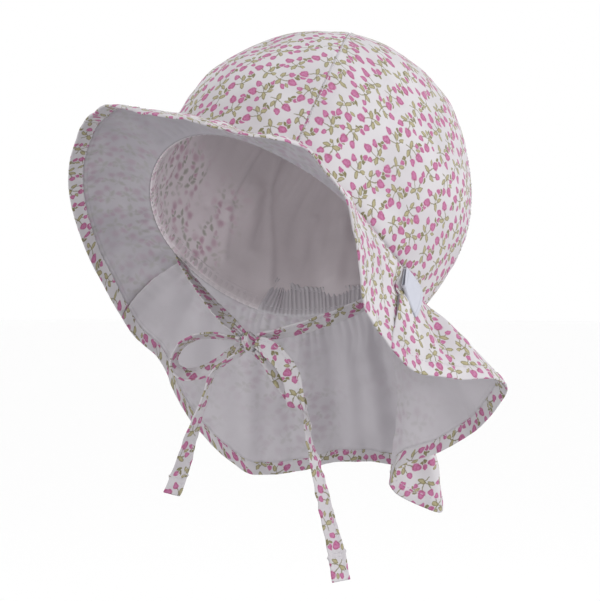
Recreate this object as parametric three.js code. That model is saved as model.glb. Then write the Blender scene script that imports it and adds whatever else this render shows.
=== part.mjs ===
// A baby's sun hat in printed cotton, in the form it has when it is worn: a crown of four gores
// tilted back on the head, a wide brim, a folded flap over the nape, and ties in a bow under the chin.
// Millimetres. The origin is the middle of the head opening, +Z is up and -Y is where the face looks.

import * as THREE from "three";

// Driving dimensions
const crownTilt = 37; // degrees that the head opening leans back
const crownHeight = 114;
const crownTuck = 0.93; // how fast the crown closes towards its top
const crownSwell = 0.16; // how far the crown swells out above the head opening
const crownLean = 6.5; // how far the top of the crown moves back
const crownLeanCurve = 0.85; // below 1 the lean starts low on the crown
const crownMeet = 0.22; // share of the way to the front where the four seams meet
const panelTop = 0.975; // share of the way up where the gores end, close to where they meet
const clothThick = 1.2;
const liningThick = 1.0;
const liningFoot = 0.004; // share of the way up where lining and bands begin
const liningTop = 0.98; // share of the way up where the lining is closed by a small hole
const tapeThick = 0.8;
const tapeTall = 6;
const casingThick = 1.6;
const casingTall = 18;
const casingRib = 0.7; // height of a gather on the casing
const ribsInCasing = 34;
const casingIn = 0.5; // degrees between the casing and the ends of the tape
const hemWide = 7.4;
const hemThick = 2;
const hemStep = 0.004; // share of the way out in which the hem thickens
const seamGap = 0.3; // between pieces that are sewn together
const liningSlack = 1; // how far the lining hangs inside the gores, and the bands inside the lining
const tieWide = 9;
const tieThick = 1.2;
const tieOff = { ahead: 1.6, below: 0.8 }; // from the head opening to a tie's first point
const tiePinch = 0.5; // share of a tie's width at the knot
const labelWide = 20;
const labelLong = 15;
const labelThick = 1.4;
const labelLift = 0.6; // off the flap
const labelFromSeam = 1; // degrees behind the ear seam

// How many steps each piece is divided into
const steps = {
  goreAcross: 10,
  goreUp: 9,
  liningRound: 40,
  liningUp: 8,
  tape: 44,
  perRib: 4,
  brimOut: 6,
  labelAcross: 4,
  labelDown: 3,
  tie: 18,
  tiePoints: 6,
  loop: 30,
  endRight: 18,
  endLeft: 20,
  alongLine: 24,
  brimRound: 4.2, // widest step, in degrees of the seam
  knotRound: 12,
  knotUp: 8,
};
const stepForSlope = { at: 0.2, share: 0.002 }; // degrees and share either side of a point

// Where the seams stand round the head opening, in degrees: 0 is the forehead, 90 the left ear
const panelSeams = [
  { name: "crown_panel_front", from: -38, to: 38 },
  { name: "crown_panel_left", from: 38, to: 132 },
  { name: "crown_panel_back", from: 132, to: 228 },
  { name: "crown_panel_right", from: 228, to: 322 },
];
const leftEarSeam = 101;
const rightEarSeam = 265;
const casingFrom = 132;
const casingTo = 228;

// The head opening: distance from its middle, and how far its edge dips below flat
const openingRows = [
  { at: 0, radius: 77, dip: 0 },
  { at: 45, radius: 75, dip: 5.5 },
  { at: 90, radius: 71, dip: 11 },
  { at: 135, radius: 75, dip: 8 },
  { at: 180, radius: 72, dip: -5.5 },
  { at: 225, radius: 75, dip: 10 },
  { at: 270, radius: 76, dip: 11.5 },
  { at: 315, radius: 75, dip: 5.5 },
];

// The outer edge of brim and flap: seam angle, then bearing, distance and height of the edge, and how
// far the cloth bulges between the two
const edgeRows = [
  { at: 0, bearing: 0, reach: 110, height: 54.5, bulge: 4 },
  { at: 22, bearing: 22, reach: 119, height: 45.6, bulge: 3 },
  { at: 43, bearing: 43, reach: 118, height: 36, bulge: 2 },
  { at: 60, bearing: 54, reach: 112, height: 20, bulge: 2 },
  { at: 75, bearing: 60, reach: 106, height: -7, bulge: 2 },
  { at: 90, bearing: 63.5, reach: 101, height: -37, bulge: 2 },
  { at: 98, bearing: 69.5, reach: 95.5, height: -50, bulge: 1 },
  { at: 104, bearing: 78, reach: 93.5, height: -63, bulge: 0.5 },
  { at: 110, bearing: 88, reach: 92, height: -68.5, bulge: 0.5 },
  { at: 120, bearing: 103, reach: 101, height: -70, bulge: 0.5 },
  { at: 130, bearing: 122, reach: 108.4, height: -75.8, bulge: 1 },
  { at: 140, bearing: 139, reach: 96.7, height: -97.2, bulge: 2 },
  { at: 148, bearing: 151, reach: 81, height: -111, bulge: 0 },
  { at: 155, bearing: 162, reach: 66.7, height: -118, bulge: 0 },
  { at: 160, bearing: 168.8, reach: 67.5, height: -127.4, bulge: 1 },
  { at: 161.5, bearing: 170, reach: 70, height: -134, bulge: 1.5 },
  { at: 163, bearing: 169.6, reach: 82, height: -140.4, bulge: 2.5 },
  { at: 166, bearing: 168, reach: 96, height: -145.4, bulge: 5 },
  { at: 172, bearing: 181, reach: 112, height: -140, bulge: 6 },
  { at: 180, bearing: 191, reach: 108, height: -123.9, bulge: 3 },
  { at: 200, bearing: 209.5, reach: 107, height: -122.4, bulge: 3 },
  { at: 212, bearing: 220, reach: 107, height: -127.6, bulge: 3 },
  { at: 223, bearing: 231, reach: 106, height: -130, bulge: 3 },
  { at: 233, bearing: 239, reach: 107, height: -125, bulge: 3 },
  { at: 244, bearing: 250, reach: 111.8, height: -105, bulge: 3 },
  { at: 249, bearing: 256, reach: 112.4, height: -88, bulge: 3 },
  { at: 256, bearing: 262, reach: 114, height: -65, bulge: 3 },
  { at: 260, bearing: 269, reach: 116, height: -54, bulge: 3 },
  { at: 265, bearing: 274.5, reach: 115.2, height: -43, bulge: 4 },
  { at: 274, bearing: 282.5, reach: 114, height: -26.5, bulge: 4 },
  { at: 287, bearing: 289.4, reach: 114, height: -12.6, bulge: 4 },
  { at: 300, bearing: 302, reach: 113.3, height: 13.8, bulge: 4 },
  { at: 315, bearing: 314, reach: 110, height: 33.5, bulge: 4 },
  { at: 330, bearing: 329.5, reach: 104.8, height: 51, bulge: 4 },
  { at: 345, bearing: 345.5, reach: 105, height: 56.9, bulge: 4 },
];

// The bow hangs in a frame of its own: side runs to the wearer's left, out runs away from the chin
const knotAt = new THREE.Vector3(0, -29, -54);
const bowBearing = 20;
const knotRadii = { side: 4.2, out: 4.2, up: 4.4 };
// turn twists the ribbon about its path: 0 lays its width along the view from the front, 90 across it.
// wide is its share of the full width.
const loopRightRows = [
  { side: -4.3, out: 0.8, up: 1.2, turn: 20, wide: 0.45 },
  { side: -15, out: 2, up: 2.8, turn: 20, wide: 0.9 },
  { side: -25, out: 3, up: 2.6, turn: 16, wide: 1 },
  { side: -34, out: 3, up: -1, turn: 6, wide: 1 },
  { side: -38.8, out: 3, up: -7, turn: 0, wide: 1 },
  { side: -39.6, out: 2.4, up: -12.6, turn: 2, wide: 1 },
  { side: -35, out: 0.6, up: -16.4, turn: 12, wide: 1 },
  { side: -28, out: -1.4, up: -15.8, turn: 18, wide: 1 },
  { side: -20, out: -2.8, up: -12.2, turn: 22, wide: 0.9 },
  { side: -12, out: -2.6, up: -6.6, turn: 24, wide: 0.7 },
  { side: -4.2, out: -1.2, up: -1.8, turn: 18, wide: 0.45 },
];
const loopLeftRows = [
  { side: 4.4, out: 1.8, up: -0.4, turn: 84, wide: 0.45 },
  { side: 8.6, out: 3.2, up: -1.6, turn: 84, wide: 0.85 },
  { side: 14, out: 4.4, up: -4.5, turn: 84, wide: 1 },
  { side: 19.8, out: 5.4, up: -9.6, turn: 86, wide: 1 },
  { side: 24.3, out: 5.6, up: -16.1, turn: 86, wide: 1 },
  { side: 26.4, out: 5.2, up: -23.2, turn: 88, wide: 1 },
  { side: 26.7, out: 4, up: -29.2, turn: 88, wide: 1 },
  { side: 25.6, out: 1.6, up: -32, turn: 86, wide: 1 },
  { side: 23.2, out: 0.2, up: -29.6, turn: 84, wide: 1 },
  { side: 19.4, out: -1, up: -24, turn: 82, wide: 1 },
  { side: 15.4, out: -1.5, up: -16.8, turn: 80, wide: 0.95 },
  { side: 11.2, out: -1.2, up: -10.6, turn: 80, wide: 0.85 },
  { side: 7.4, out: -0.5, up: -6, turn: 82, wide: 0.6 },
  { side: 4.2, out: -0.3, up: -3.6, turn: 84, wide: 0.4 },
];
const endRightRows = [
  { side: -2.2, out: 1.4, up: -4.4, turn: 10, wide: 0.5 },
  { side: -10.4, out: 4.6, up: -9.8, turn: 2, wide: 0.85 },
  { side: -16.8, out: 5.2, up: -15.2, turn: -2, wide: 1 },
  { side: -20.1, out: 4.6, up: -20.9, turn: -10, wide: 1 },
  { side: -22.8, out: 4, up: -28.9, turn: -8, wide: 1 },
  { side: -26.1, out: 3.4, up: -36.3, turn: 1, wide: 1 },
  { side: -29.1, out: 3, up: -43.9, turn: 10, wide: 1 },
  { side: -33.5, out: 2.4, up: -56.4, turn: 24, wide: 1 },
  { side: -37.5, out: 2, up: -67.4, turn: 34, wide: 1 },
  { side: -41.4, out: 2, up: -76.1, turn: 36, wide: 1 },
];
const endLeftRows = [
  { side: 1.2, out: -2.2, up: -4.3, turn: 20, wide: 0.45 },
  { side: 7.6, out: -7.4, up: -13, turn: 8, wide: 0.75 },
  { side: 15.6, out: -10.4, up: -21.4, turn: 0, wide: 0.9 },
  { side: 23.2, out: -10.2, up: -30.6, turn: -6, wide: 1 },
  { side: 27, out: -8.6, up: -38, turn: -16, wide: 1 },
  { side: 29.2, out: -6, up: -47.2, turn: -14, wide: 1 },
  { side: 32.8, out: -5, up: -58, turn: 0, wide: 1 },
  { side: 36.7, out: -4, up: -72.4, turn: 10, wide: 1 },
  { side: 40.7, out: -3, up: -86.9, turn: 16, wide: 1 },
  { side: 44.8, out: -2.4, up: -101.3, turn: 28, wide: 1 },
  { side: 47.6, out: -2, up: -115, turn: 32, wide: 1 },
];

// The two straps: where each leaves the head opening, where it meets the knot, its twist in degrees and its sag
const tieRows = [
  { name: "tie_right", at: 267, side: -4.6, out: -0.4, up: 3.2, twist: 60, slack: 2 },
  { name: "tie_left", at: 110, side: 4.6, out: -0.4, up: 2, twist: 0, slack: 4 },
];

// Colours
const printedCotton = { color: 0xe7dfe4, roughness: 0.9, metalness: 0 };
const whiteLining = { color: 0xd9d6d8, roughness: 0.9, metalness: 0 };
const whiteLabel = { color: 0xf2f1f3, roughness: 0.7, metalness: 0 };

const toRadians = THREE.MathUtils.degToRad;
const toDegrees = THREE.MathUtils.radToDeg;
const tilt = toRadians(crownTilt);

// A smooth value between the rows of a closed table; lap is what the value gains in one turn
function between(rows, at, column, lap = 0) {
  const turned = ((at % 360) + 360) % 360;
  const last = rows.findLastIndex((row) => row.at <= turned);
  const knot = (step) => {
    const index = last + step;
    const laps = Math.floor(index / rows.length);
    const row = rows[index - laps * rows.length];
    return { at: row.at + 360 * laps, value: row[column] + lap * laps };
  };
  const [before, start, end, after] = [-1, 0, 1, 2].map(knot);
  const t = (turned - start.at) / (end.at - start.at);
  const slope = (a, b) => ((b.value - a.value) / (b.at - a.at)) * (end.at - start.at);
  return (
    (2 * t ** 3 - 3 * t ** 2 + 1) * start.value +
    (t ** 3 - 2 * t ** 2 + t) * slope(before, end) +
    (3 * t ** 2 - 2 * t ** 3) * end.value +
    (t ** 3 - t ** 2) * slope(start, after)
  );
}

// A point of the tilted crown: x to the left ear, forward to the forehead, up along the crown
function inCrown(x, forward, up) {
  return new THREE.Vector3(
    x,
    -forward * Math.cos(tilt) + up * Math.sin(tilt),
    forward * Math.sin(tilt) + up * Math.cos(tilt),
  );
}

function opening(at) {
  const radius = between(openingRows, at, "radius");
  const a = toRadians(at);
  return inCrown(radius * Math.sin(a), radius * Math.cos(a), -between(openingRows, at, "dip"));
}

// The crown by angle and share of the way from the head opening to its top
function dome(at, share) {
  const radius = between(openingRows, at, "radius");
  const a = toRadians(at);
  const rise = (share * Math.PI) / 2;
  const out = radius * Math.cos(rise) ** crownTuck * (1 + crownSwell * Math.sin(2 * rise));
  const back = crownLean * Math.sin(rise) ** crownLeanCurve;
  const up = crownHeight * Math.sin(rise) - between(openingRows, at, "dip") * (1 - share) ** 2;
  return inCrown(out * Math.sin(a), out * Math.cos(a) - back, up);
}

// The same surface by seam angle and share of the way up to where the seams meet
function crown(at, share) {
  const a = toRadians(at);
  const forward = (1 - share) * Math.cos(a) + share * crownMeet;
  const left = (1 - share) * Math.sin(a);
  return dome(toDegrees(Math.atan2(left, forward)), Math.max(1 - Math.hypot(left, forward), 0));
}

function edge(at) {
  const bearing = toRadians(between(edgeRows, at, "bearing", 360));
  const reach = between(edgeRows, at, "reach");
  const height = between(edgeRows, at, "height");
  return new THREE.Vector3(reach * Math.sin(bearing), -reach * Math.cos(bearing), height);
}

// Brim and flap by seam angle and share of the way from the head opening to the edge
function skirt(at, share) {
  const start = opening(at);
  const way = edge(at).sub(start);
  const level = new THREE.Vector3(way.x, way.y, 0).normalize();
  const upward = new THREE.Vector3(0, 0, way.dot(level)).addScaledVector(level, -way.z).normalize();
  const bulge = between(edgeRows, at, "bulge") * 4 * share * (1 - share);
  return start.addScaledVector(way, share).addScaledVector(upward, bulge);
}

function outwards(surface, side, at, share) {
  const near = stepForSlope;
  const along = surface(at + near.at, share).sub(surface(at - near.at, share));
  const up = surface(at, Math.min(share + near.share, 1)).sub(surface(at, Math.max(share - near.share, 0)));
  return along.cross(up).normalize().multiplyScalar(side);
}

// Closed mesh from a grid of outer points and a grid of inner points; ring joins last column to first
function shell(outer, inner, ring = false) {
  const columns = outer.length;
  const rows = outer[0].length;
  const points = [...outer.flat(), ...inner.flat()];
  const out = (i, j) => (i % columns) * rows + j;
  const back = (i, j) => columns * rows + out(i, j);
  const faces = [];
  const quad = (a, b, c, d) => faces.push(a, b, c, a, c, d);
  const lastColumn = ring ? columns : columns - 1;
  for (let i = 0; i < lastColumn; i += 1) {
    for (let j = 0; j < rows - 1; j += 1) {
      quad(out(i, j), out(i + 1, j), out(i + 1, j + 1), out(i, j + 1));
      quad(back(i, j), back(i, j + 1), back(i + 1, j + 1), back(i + 1, j));
    }
    quad(out(i, 0), back(i, 0), back(i + 1, 0), out(i + 1, 0));
    quad(out(i, rows - 1), out(i + 1, rows - 1), back(i + 1, rows - 1), back(i, rows - 1));
  }
  if (!ring) {
    for (let j = 0; j < rows - 1; j += 1) {
      quad(out(0, j), out(0, j + 1), back(0, j + 1), back(0, j));
      quad(out(columns - 1, j), back(columns - 1, j), back(columns - 1, j + 1), out(columns - 1, j + 1));
    }
  }
  return closedMesh(points, faces);
}

// Geometry with its faces pointing out
function closedMesh(points, faces) {
  let volume = 0;
  for (let k = 0; k < faces.length; k += 3) {
    const [a, b, c] = faces.slice(k, k + 3).map((n) => points[n]);
    volume += a.dot(b.clone().cross(c));
  }
  if (volume < 0) {
    faces.reverse();
  }
  const geometry = new THREE.BufferGeometry();
  geometry.setAttribute("position", new THREE.Float32BufferAttribute(points.flatMap((p) => p.toArray()), 3));
  geometry.setIndex(faces);
  geometry.computeVertexNormals();
  return geometry;
}

// A sheet of cloth over part of a surface. depth says how far below the surface its two faces lie.
function cloth({ surface, side, columns, shares, depth, ring }) {
  const grid = (face) =>
    columns.map((at) =>
      shares(at).map((share) => {
        const lift = outwards(surface, side, at, share);
        return surface(at, share).addScaledVector(lift, -depth(at, share)[face]);
      }),
    );
  return shell(grid("top"), grid("under"), ring);
}

function spread(from, to, count) {
  return Array.from({ length: count + 1 }, (_, k) => from + ((to - from) * k) / count);
}

// Length along a line of a surface, from its start
function lengthAlong(surface, at) {
  const points = spread(0, 1, steps.alongLine).map((share) => surface(at, share));
  return points.slice(1).reduce((sum, point, k) => sum + point.distanceTo(points[k]), 0);
}

// One gore of the crown, which stops just short of the seams and of the point where they meet
function crownPanel(from, to) {
  const middle = (from + to) / 2;
  const radius = opening(middle).length();
  const gore = (at, share) => {
    const trim = toDegrees(seamGap / 2 / (radius * (1 - share)));
    return crown(middle + (at - middle) * (1 - (2 * trim) / (to - from)), share);
  };
  return cloth({
    surface: gore,
    side: 1,
    columns: spread(from, to, steps.goreAcross),
    shares: () => spread(seamGap / lengthAlong(crown, middle), panelTop, steps.goreUp),
    depth: () => ({ top: 0, under: clothThick }),
  });
}

function crownLining() {
  const top = clothThick + liningSlack;
  return cloth({
    surface: dome,
    side: 1,
    columns: spread(0, 360, steps.liningRound).slice(0, -1),
    shares: () => spread(liningFoot, liningTop, steps.liningUp),
    depth: () => ({ top, under: top + liningThick }),
    ring: true,
  });
}

// A band inside the crown along the head opening
function band({ from, to, count, tall, thick, rib = 0 }) {
  const top = clothThick + liningThick + 2 * liningSlack;
  const columns = spread(from, to, count);
  const ribbed = (at) => (columns.indexOf(at) % steps.perRib === steps.perRib / 2 ? rib : 0);
  return cloth({
    surface: dome,
    side: 1,
    columns,
    shares: (at) => [liningFoot, liningFoot + tall / lengthAlong(dome, at)],
    depth: (at) => ({ top, under: top + thick + ribbed(at) }),
  });
}

// Brim or flap, with its edge folded under into a hem
function brimPart(from, to) {
  const trim = toDegrees(seamGap / 2 / opening(from).length());
  const turned = (row) => [row.at - 360, row.at].find((at) => at > from + 1 && at < to - 1);
  const stops = edgeRows.map(turned).filter((at) => at !== undefined).sort((a, b) => a - b);
  const ends = [from + trim, ...stops, to - trim];
  const columns = ends.slice(1).flatMap((end, k) => {
    const count = Math.ceil((end - ends[k]) / steps.brimRound);
    return spread(ends[k], end, count).slice(k === 0 ? 0 : 1);
  });
  return cloth({
    surface: skirt,
    side: -1,
    columns,
    shares: (at) => {
      const length = lengthAlong(skirt, at);
      const hem = 1 - hemWide / length;
      return [...spread(0, hem - hemStep, steps.brimOut), hem, 1];
    },
    depth: (at, share) => {
      const hem = 1 - hemWide / lengthAlong(skirt, at);
      return { top: 0, under: share > hem - hemStep / 2 ? hemThick : clothThick };
    },
  });
}

const bowSide = new THREE.Vector3(Math.cos(toRadians(bowBearing)), Math.sin(toRadians(bowBearing)), 0);
const bowOut = new THREE.Vector3(bowSide.y, -bowSide.x, 0);

function inBow({ side, out, up }) {
  return knotAt.clone().addScaledVector(bowSide, side).addScaledVector(bowOut, out).setZ(knotAt.z + up);
}

// A ribbon along a smooth path. turn and wide come from the rows, by share of the path.
function ribbon(points, rows, count, startAcross = bowOut) {
  const path = new THREE.CatmullRomCurve3(points, false, "centripetal");
  const carried = startAcross.clone();
  const sections = spread(0, 1, count).map((share) => {
    const at = share * (rows.length - 1);
    const row = Math.min(Math.floor(at), rows.length - 2);
    const mix = (column) => THREE.MathUtils.lerp(rows[row][column], rows[row + 1][column], at - row);
    const middle = path.getPoint(share);
    const ahead = path.getTangent(share);
    carried.addScaledVector(ahead, -carried.dot(ahead)).normalize();
    const across = carried.clone().applyAxisAngle(ahead, toRadians(mix("turn")));
    const face = ahead.clone().cross(across);
    const half = (tieWide * mix("wide")) / 2;
    return [1, -1].map((side) =>
      [half, -half].map((reach) =>
        middle.clone().addScaledVector(across, reach).addScaledVector(face, (side * tieThick) / 2),
      ),
    );
  });
  return shell(
    sections.map((section) => section[0]),
    sections.map((section) => section[1]),
  );
}

function bowRibbon(rows, count) {
  return ribbon(rows.map(inBow), rows, count);
}

// A tie strap from the ear seam to the knot, hanging a little slack. It leaves flat along the seam.
function tie({ at, side, out, up, twist, slack }) {
  const seam = opening(at);
  const last = inBow({ side, out, up });
  const ahead = last.clone().sub(seam).normalize();
  const first = seam.clone().addScaledVector(ahead, tieOff.ahead).add(inCrown(0, 0, -tieOff.below));
  const shares = spread(0, 1, steps.tiePoints);
  const rows = shares.map((share) => ({ turn: twist * share, wide: share < 1 ? 1 : tiePinch }));
  const points = shares.map((share) => {
    const point = first.clone().lerp(last, share);
    point.z -= slack * 4 * share * (1 - share);
    return point;
  });
  return ribbon(points, rows, steps.tie, opening(at + stepForSlope.at).sub(seam).normalize());
}

function knot() {
  const ball = new THREE.SphereGeometry(1, steps.knotRound, steps.knotUp);
  ball.scale(knotRadii.side, knotRadii.out, knotRadii.up);
  ball.rotateZ(toRadians(bowBearing));
  ball.translate(knotAt.x, knotAt.y, knotAt.z);
  return ball;
}

// The folded label hangs from the crown seam behind the left ear, on the outside of the flap
function sideLabel() {
  const from = leftEarSeam + labelFromSeam;
  const degrees = toDegrees(labelWide / opening(from).length());
  return cloth({
    surface: skirt,
    side: -1,
    columns: spread(from, from + degrees, steps.labelAcross),
    shares: (at) => spread(seamGap, labelLong, steps.labelDown).map((run) => run / lengthAlong(skirt, at)),
    depth: () => ({ top: -labelLift - labelThick, under: -labelLift }),
  });
}

const hat = new THREE.Group();

function add(name, geometry, finish) {
  const mesh = new THREE.Mesh(geometry, new THREE.MeshStandardMaterial(finish));
  mesh.name = name;
  hat.add(mesh);
}

for (const { name, from, to } of panelSeams) {
  add(name, crownPanel(from, to), printedCotton);
}
add("crown_lining", crownLining(), whiteLining);
add(
  "seam_tape",
  band({ from: casingTo - 360, to: casingFrom, count: steps.tape, tall: tapeTall, thick: tapeThick }),
  whiteLining,
);
add(
  "nape_casing",
  band({
    from: casingFrom + casingIn,
    to: casingTo - casingIn,
    count: steps.perRib * ribsInCasing,
    tall: casingTall,
    thick: casingThick,
    rib: casingRib,
  }),
  whiteLining,
);
add("brim", brimPart(rightEarSeam - 360, leftEarSeam), printedCotton);
add("neck_flap", brimPart(leftEarSeam, rightEarSeam), printedCotton);
add("side_label", sideLabel(), whiteLabel);
for (const row of tieRows) {
  add(row.name, tie(row), printedCotton);
}
add("bow_knot", knot(), printedCotton);
add("bow_loop_right", bowRibbon(loopRightRows, steps.loop), printedCotton);
add("bow_loop_left", bowRibbon(loopLeftRows, steps.loop), printedCotton);
add("bow_end_right", bowRibbon(endRightRows, steps.endRight), printedCotton);
add("bow_end_left", bowRibbon(endLeftRows, steps.endLeft), printedCotton);

export default hat;
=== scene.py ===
import bpy
import numpy as np
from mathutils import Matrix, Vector


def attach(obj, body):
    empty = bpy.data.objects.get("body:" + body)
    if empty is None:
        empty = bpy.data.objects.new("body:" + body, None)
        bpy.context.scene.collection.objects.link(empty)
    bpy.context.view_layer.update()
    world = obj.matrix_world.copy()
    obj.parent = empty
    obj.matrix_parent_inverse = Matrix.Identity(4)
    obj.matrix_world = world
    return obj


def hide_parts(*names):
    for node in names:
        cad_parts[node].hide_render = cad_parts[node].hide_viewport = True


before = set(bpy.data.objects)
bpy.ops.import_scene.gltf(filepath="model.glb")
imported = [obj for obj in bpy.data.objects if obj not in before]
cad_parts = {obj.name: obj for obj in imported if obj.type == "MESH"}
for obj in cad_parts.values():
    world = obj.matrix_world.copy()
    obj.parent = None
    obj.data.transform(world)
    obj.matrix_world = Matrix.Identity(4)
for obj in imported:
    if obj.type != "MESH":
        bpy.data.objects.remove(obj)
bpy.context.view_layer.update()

# A baby's sun hat in rosebud cotton, in its worn form. Lengths in the dictionaries are millimetres,
# angles are degrees round the head opening: 0 at the forehead, 90 at the left ear.
mm = 0.001
print("frame loaded,", len(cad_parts), "solids")


def tint(red, green, blue):
    # a colour as a paint program gives it, 0 to 255, made linear
    share = np.array([red, green, blue]) / 255
    linear = np.where(share < 0.04045, share / 12.92, ((share + 0.055) / 1.055) ** 2.4)
    return (*[float(x) for x in linear], 1.0)


# Wire holds one socket of a material, so that sums can be written as sums
class Wire:
    def __init__(self, finish, socket):
        self.finish = finish
        self.socket = socket

    def maths(self, operation, *values):
        return self.finish.node("ShaderNodeMath", {"operation": operation}, dict(enumerate(values)))

    def __add__(self, other):
        return self.maths("ADD", self, other)

    def __radd__(self, other):
        return self.maths("ADD", other, self)

    def __sub__(self, other):
        return self.maths("SUBTRACT", self, other)

    def __rsub__(self, other):
        return self.maths("SUBTRACT", other, self)

    def __mul__(self, other):
        return self.maths("MULTIPLY", self, other)

    def __rmul__(self, other):
        return self.maths("MULTIPLY", other, self)

    def __truediv__(self, other):
        return self.maths("DIVIDE", self, other)

    def __abs__(self):
        return self.maths("ABSOLUTE", self)

    def root(self):
        return self.maths("SQRT", self)

    def sine(self):
        return self.maths("SINE", self)

    def cosine(self):
        return self.maths("COSINE", self)

    def whole(self):
        return self.maths("FLOOR", self)

    def most(self, other):
        return self.maths("MAXIMUM", self, other)

    def least(self, other):
        return self.maths("MINIMUM", self, other)

    def output(self, name):
        return Wire(self.finish, self.socket.node.outputs[name])

    def between(self, low, high):
        # 0 at low and 1 at high, smooth on the way; low may be the larger
        ease = {"interpolation_type": "SMOOTHSTEP"}
        return self.finish.node("ShaderNodeMapRange", ease, {0: self, 1: low, 2: high, 3: 0.0, 4: 1.0})


# Finish is one material, whose nodes all come from one method
class Finish:
    def __init__(self, name):
        self.material = bpy.data.materials.new(name)
        self.material.use_nodes = True
        self.tree = self.material.node_tree
        self.tree.nodes.clear()

    def node(self, kind, settings, sockets, output=0):
        made = self.tree.nodes.new(kind)
        for key, value in settings.items():
            setattr(made, key, value)
        for key, value in sockets.items():
            if isinstance(value, Wire):
                self.tree.links.new(value.socket, made.inputs[key])
            else:
                made.inputs[key].default_value = value
        return Wire(self, made.outputs[output]) if made.outputs else None

    def mix(self, share, first, second):
        return self.node("ShaderNodeMix", {"data_type": "RGBA"}, {0: share, 6: first, 7: second}, 2)

    def clothPlace(self):
        # the cloth's own coordinates in millimetres, which the mesh carries
        at = self.node("ShaderNodeUVMap", {"uv_map": "cloth"}, {})
        flat = self.node("ShaderNodeSeparateXYZ", {}, {0: at})
        return at, flat.output("X"), flat.output("Y")

    def noise(self, at, scale, detail=2.0, output=0):
        sockets = {"Vector": at, "Scale": scale, "Detail": detail}
        return self.node("ShaderNodeTexNoise", {"noise_dimensions": "2D"}, sockets, output)

    def weave(self, x, y, pitch):
        # warp and weft threads that cross over and under
        turn = 2 * np.pi / pitch
        over = (x * turn).sine() * (y * turn).sine()
        warp = abs((x * (turn / 2)).sine())
        weft = abs((y * (turn / 2)).sine())
        share = over.between(-0.4, 0.4)
        return warp * share + weft * (1 - share)

    def bump(self, height, strength, distance):
        sockets = {"Strength": strength, "Distance": distance, "Height": height}
        return self.node("ShaderNodeBump", {}, sockets)

    def clothBump(self, mask, pitch, scale=0.16, soft=0.35):
        # the threads, and the soft unevenness of washed cotton
        threads = self.weave(mask["x"], mask["y"], pitch)
        return self.bump(threads * 0.05 + self.noise(mask["at"], scale, 3.0) * soft, 0.5, 0.0006)

    def cover(self, colour, normal, look):
        sockets = {
            "Base Color": colour,
            "Normal": normal,
            "Roughness": look["roughness"],
            "Sheen Weight": look["sheen"],
            "Sheen Roughness": 0.6,
            "Specular IOR Level": look["gloss"],
        }
        skin = self.node("ShaderNodeBsdfPrincipled", {}, sockets)
        self.node("ShaderNodeOutputMaterial", {}, {"Surface": skin})
        return self.material


def fromMiddle(x, y, middle, halves, turn):
    # place within a drawn shape, in shares of its half width and half length
    cos, sin = float(np.cos(np.radians(turn))), float(np.sin(np.radians(turn)))
    across, up = x - middle[0], y - middle[1]
    long = (across * sin + up * cos) / halves[1]
    wide = (across * cos - up * sin) / halves[0]
    return wide, long


# Plain shapes of the print, each under 1 inside: middle and half lengths in millimetres, turn in degrees
def oval(x, y, middle, halves, turn, egg=0.0):
    wide, long = fromMiddle(x, y, middle, halves, turn)
    if egg:
        wide = wide * (1 + long * egg)
    return (wide * wide + long * long).root()


def leaf(x, y, middle, halves, turn):
    blunt, taper = 0.03, 0.95
    wide, long = fromMiddle(x, y, middle, halves, turn)
    return (wide * wide + blunt).root() + long * long * taper


def stalk(x, y, start, end, bend):
    # distance from a bowed line, in millimetres
    way = np.array(end, float) - start
    length = float(np.hypot(*way))
    along, across = way / length, np.array([way[1], -way[0]]) / length
    run = ((x - start[0]) * float(along[0]) + (y - start[1]) * float(along[1])) / length
    held = run.most(0.0).least(1.0)
    bow = held * (1 - held) * (4 * bend)
    off = (x - start[0]) * float(across[0]) + (y - start[1]) * float(across[1]) - bow
    past = (run - held) * length
    return (off * off + past * past).root()


cotton = {
    "ground": tint(203, 200, 203),
    "groundShade": tint(194, 190, 194),
    "budLight": tint(184, 112, 152),
    "budDark": tint(158, 70, 114),
    "budBase": tint(134, 64, 84),
    "leafLight": tint(166, 158, 122),
    "leafDark": tint(112, 106, 68),
    "stalk": tint(118, 112, 78),
    "size": 1.03,  # the whole print grows with this
    "sprigWide": 13.4,  # one sprig to each place this wide
    "sprigTall": 12.0,
    "rowShift": 0.43,
    "stray": (2.0, 1.6),  # how far a sprig may lie from the middle of its place
    "wobble": 0.5,  # unevenness of the drawn edges
    "pitch": 0.42,  # of the threads
    "roughness": 0.88,
    "sheen": 0.12,
    "gloss": 0.22,
}


def chances(f, column, row, seed):
    # three values from 0 to 1 by chance, the same all over one place of the print
    place = f.node("ShaderNodeCombineXYZ", {}, {0: column, 1: row, 2: seed})
    dice = f.node("ShaderNodeTexWhiteNoise", {"noise_dimensions": "3D"}, {"Vector": place}, 1)
    apart = f.node("ShaderNodeSeparateXYZ", {}, {0: dice})
    return apart.output("X"), apart.output("Y"), apart.output("Z")


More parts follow.
